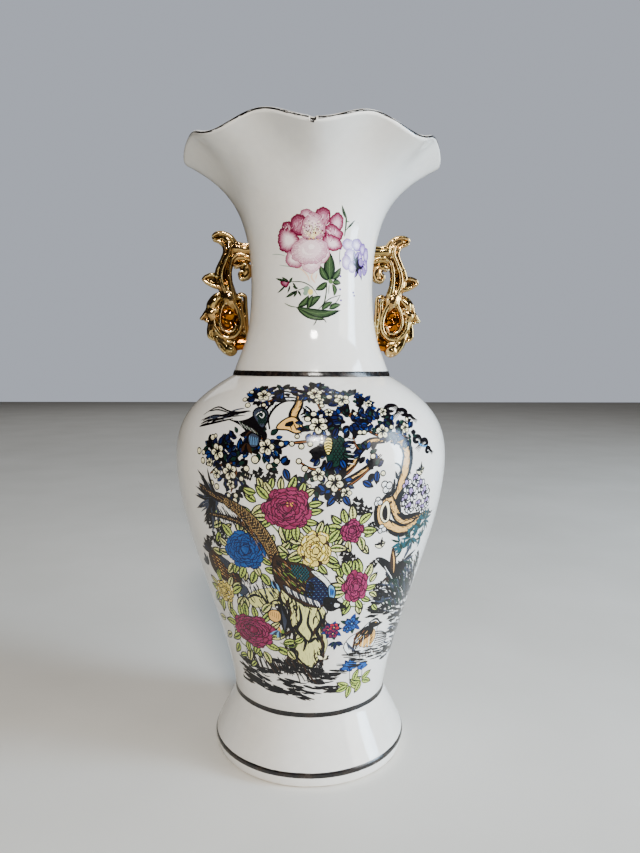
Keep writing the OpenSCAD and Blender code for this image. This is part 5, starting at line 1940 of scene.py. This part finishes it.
            p.line([root - way, root + Vector((way.y, -way.x)) * 0.3, root + way], 0.3,
                   f"peony_{p.rng.choice((0, 1, 4, 6))}", 0.1, 3)
    for _ in range(46):
        a = p.some(0, 2 * math.pi)
        root = Vector((-1.4 + p.some(4, 7.6) * math.cos(a), 235.2 + p.some(3, 5) * math.sin(a)))
        way = turned_by((p.some(0.7, 1.5), 0), a + p.some(-0.5, 0.5))
        p.line([root, root + way * 0.5 + Vector((way.y, -way.x)) * 0.2, root + way], 0.2,
               f"peony_{p.rng.choice((3, 4, 7, 7))}", 0.1, 2)
    paint_wash(p, [(-4, 236), (-2.6, 239), (0.6, 239.4), (3.4, 237.6), (2.6, 234.6), (-1.4, 233.6)],
               (-0.4, 236.8), "peony", 6, 7, 0)
    for k in range(70):
        a = p.some(0.25, 2.9)
        reach = p.some(2.5, 7.5)
        root = Vector((0.2 + p.some(-1.5, 1.5), 240.8 + p.some(-0.6, 0.6)))
        tip = root + Vector((reach * 0.75 * math.cos(a), reach * math.sin(a)))
        if k % 2:
            p.line([root, tip], 0.24, "cream" if k % 4 == 1 else "butter", 0.4, 1)
        p.dot(tip.x, tip.y, 0.32, 0.3, 0, 7, ("peony_0", "umber", "cream")[k % 3])
    for k in range(9):
        p.dot(-2.6 + 0.65 * k, 240.2 + 0.3 * math.sin(3 * k), 0.3, 0.26, 0, 7,
               ("umber", "bottle", "gold")[k % 3])


def make_bouquet():
    p = Print(11)
    paint_bouquet(p)
    p.cut({"bouquet": "neck_bouquet"}, "neck_transfer")


# ---------- camera, lights and floor ----------

def make_camera():
    """Stands 342 mm from the axis, a little to the left of the front, looking slightly down."""
    distance, height, lens = 342.0, 197.3, 28.19
    turn, pitch, aim, roll = (math.radians(a) for a in (5.0, 5.46, 0.76, 0.4))
    ahead = Vector((math.sin(turn), math.cos(turn), 0))
    right = Vector((math.cos(turn), -math.sin(turn), 0))
    up = Vector((0, 0, 1))
    look = math.cos(pitch) * ahead - math.sin(pitch) * up
    look = (math.cos(aim) * look + math.sin(aim) * right).normalized()
    right = look.cross(up).normalized()
    up = right.cross(look)
    right, up = (math.cos(roll) * right + math.sin(roll) * up,
                 math.cos(roll) * up - math.sin(roll) * right)
    data = bpy.data.cameras.new("camera")
    data.lens = lens
    data.sensor_width = 36
    data.clip_start = 0.01
    camera = bpy.data.objects.new("camera", data)
    bpy.context.scene.collection.objects.link(camera)
    camera.matrix_world = Matrix((
        (right.x, up.x, -look.x, -ahead.x * distance * MM),
        (right.y, up.y, -look.y, -ahead.y * distance * MM),
        (right.z, up.z, -look.z, height * MM),
        (0, 0, 0, 1)))
    bpy.context.scene.camera = camera


def area_light(name, azimuth, elevation, distance, width, height, power, color):
    """A rectangular light, aimed at the vase. Azimuth 0 is the front, positive to the right."""
    data = bpy.data.lights.new(name, "AREA")
    data.shape = "RECTANGLE"
    data.size = width
    data.size_y = height
    data.energy = power
    data.color = color
    light = bpy.data.objects.new(name, data)
    bpy.context.scene.collection.objects.link(light)
    a, e = math.radians(azimuth), math.radians(elevation)
    aim = Vector((0, 0, 0.16))
    way = Vector((math.sin(a) * math.cos(e), -math.cos(a) * math.cos(e), math.sin(e)))
    light.location = aim + way * distance
    light.rotation_euler = (-way).to_track_quat("-Z", "Y").to_euler()


def make_room():
    """An uneven room to reflect, warm and dim on the left and cool and bright on the right.
    The camera itself sees a plain wall colour instead."""
    world = bpy.data.worlds.new("room")
    world.use_nodes = True
    tree = world.node_tree

    def add(kind, **inputs):
        node = tree.nodes.new(kind)
        for key, value in inputs.items():
            node.inputs[key.replace("_", " ")].default_value = value
        return node

    place = add("ShaderNodeTexCoord").outputs["Generated"]
    split = add("ShaderNodeSeparateXYZ")
    patches = add("ShaderNodeTexNoise", Scale=1.7, Detail=1.0)
    tone = add("ShaderNodeMapRange", From_Min=0.34, From_Max=0.66, To_Min=-0.8, To_Max=0.8)
    total = add("ShaderNodeMath")
    shade = add("ShaderNodeValToRGB")
    points = shade.color_ramp.elements
    points.new(0.5)
    for point, (at, color) in zip(points, ((0.0, (98, 88, 76)), (0.42, (170, 165, 158)),
                                           (1.0, (216, 226, 244)))):
        point.position = at
        point.color = srgb(*color)
    room = tree.nodes["Background"]
    room.inputs["Strength"].default_value = 0.25
    wall = add("ShaderNodeBackground", Color=srgb(196, 202, 214), Strength=0.8)
    seen = add("ShaderNodeLightPath")
    mix = add("ShaderNodeMixShader")
    for start, end in ((place, split.inputs[0]), (place, patches.inputs["Vector"]),
                       (patches.outputs["Fac"], tone.inputs["Value"]),
                       (split.outputs["X"], total.inputs[0]), (tone.outputs[0], total.inputs[1]),
                       (total.outputs[0], shade.inputs["Fac"]),
                       (shade.outputs["Color"], room.inputs["Color"]),
                       (seen.outputs["Is Camera Ray"], mix.inputs[0]),
                       (room.outputs[0], mix.inputs[1]),
                       (wall.outputs[0], mix.inputs[2]),
                       (mix.outputs[0], tree.nodes["World Output"].inputs["Surface"])):
        tree.links.new(start, end)
    bpy.context.scene.world = world


def make_studio():
    area_light("window", 72, 10, 1.5, 0.4, 1.2, 42, (0.56, 0.77, 1.0))
    area_light("lamp", 0, 33, 1.5, 0.24, 0.16, 23, (1.0, 0.96, 0.9))
    area_light("room", 60, 14, 2.6, 1.3, 1.6, 48, (1.0, 0.97, 0.93))
    area_light("back_fill", 190, 32, 2.6, 1.4, 1.4, 6, (0.95, 0.97, 1.0))
    make_room()
    half = 3.0
    floor = add_mesh("floor", [(x * half / MM, y * half / MM, 0) for x, y in
                               ((-1, -1), (1, -1), (1, 1), (-1, 1))], [(0, 1, 2, 3)],
                     [make_floor_paint()])


make_camera()
make_studio()
make_foot()
make_body()
make_neck()
make_bands()
make_rim_line()
make_handle("scroll_handle_left", "handle_left", True)
make_handle("scroll_handle_right", "handle_right", False)
make_garden()
make_bouquet()
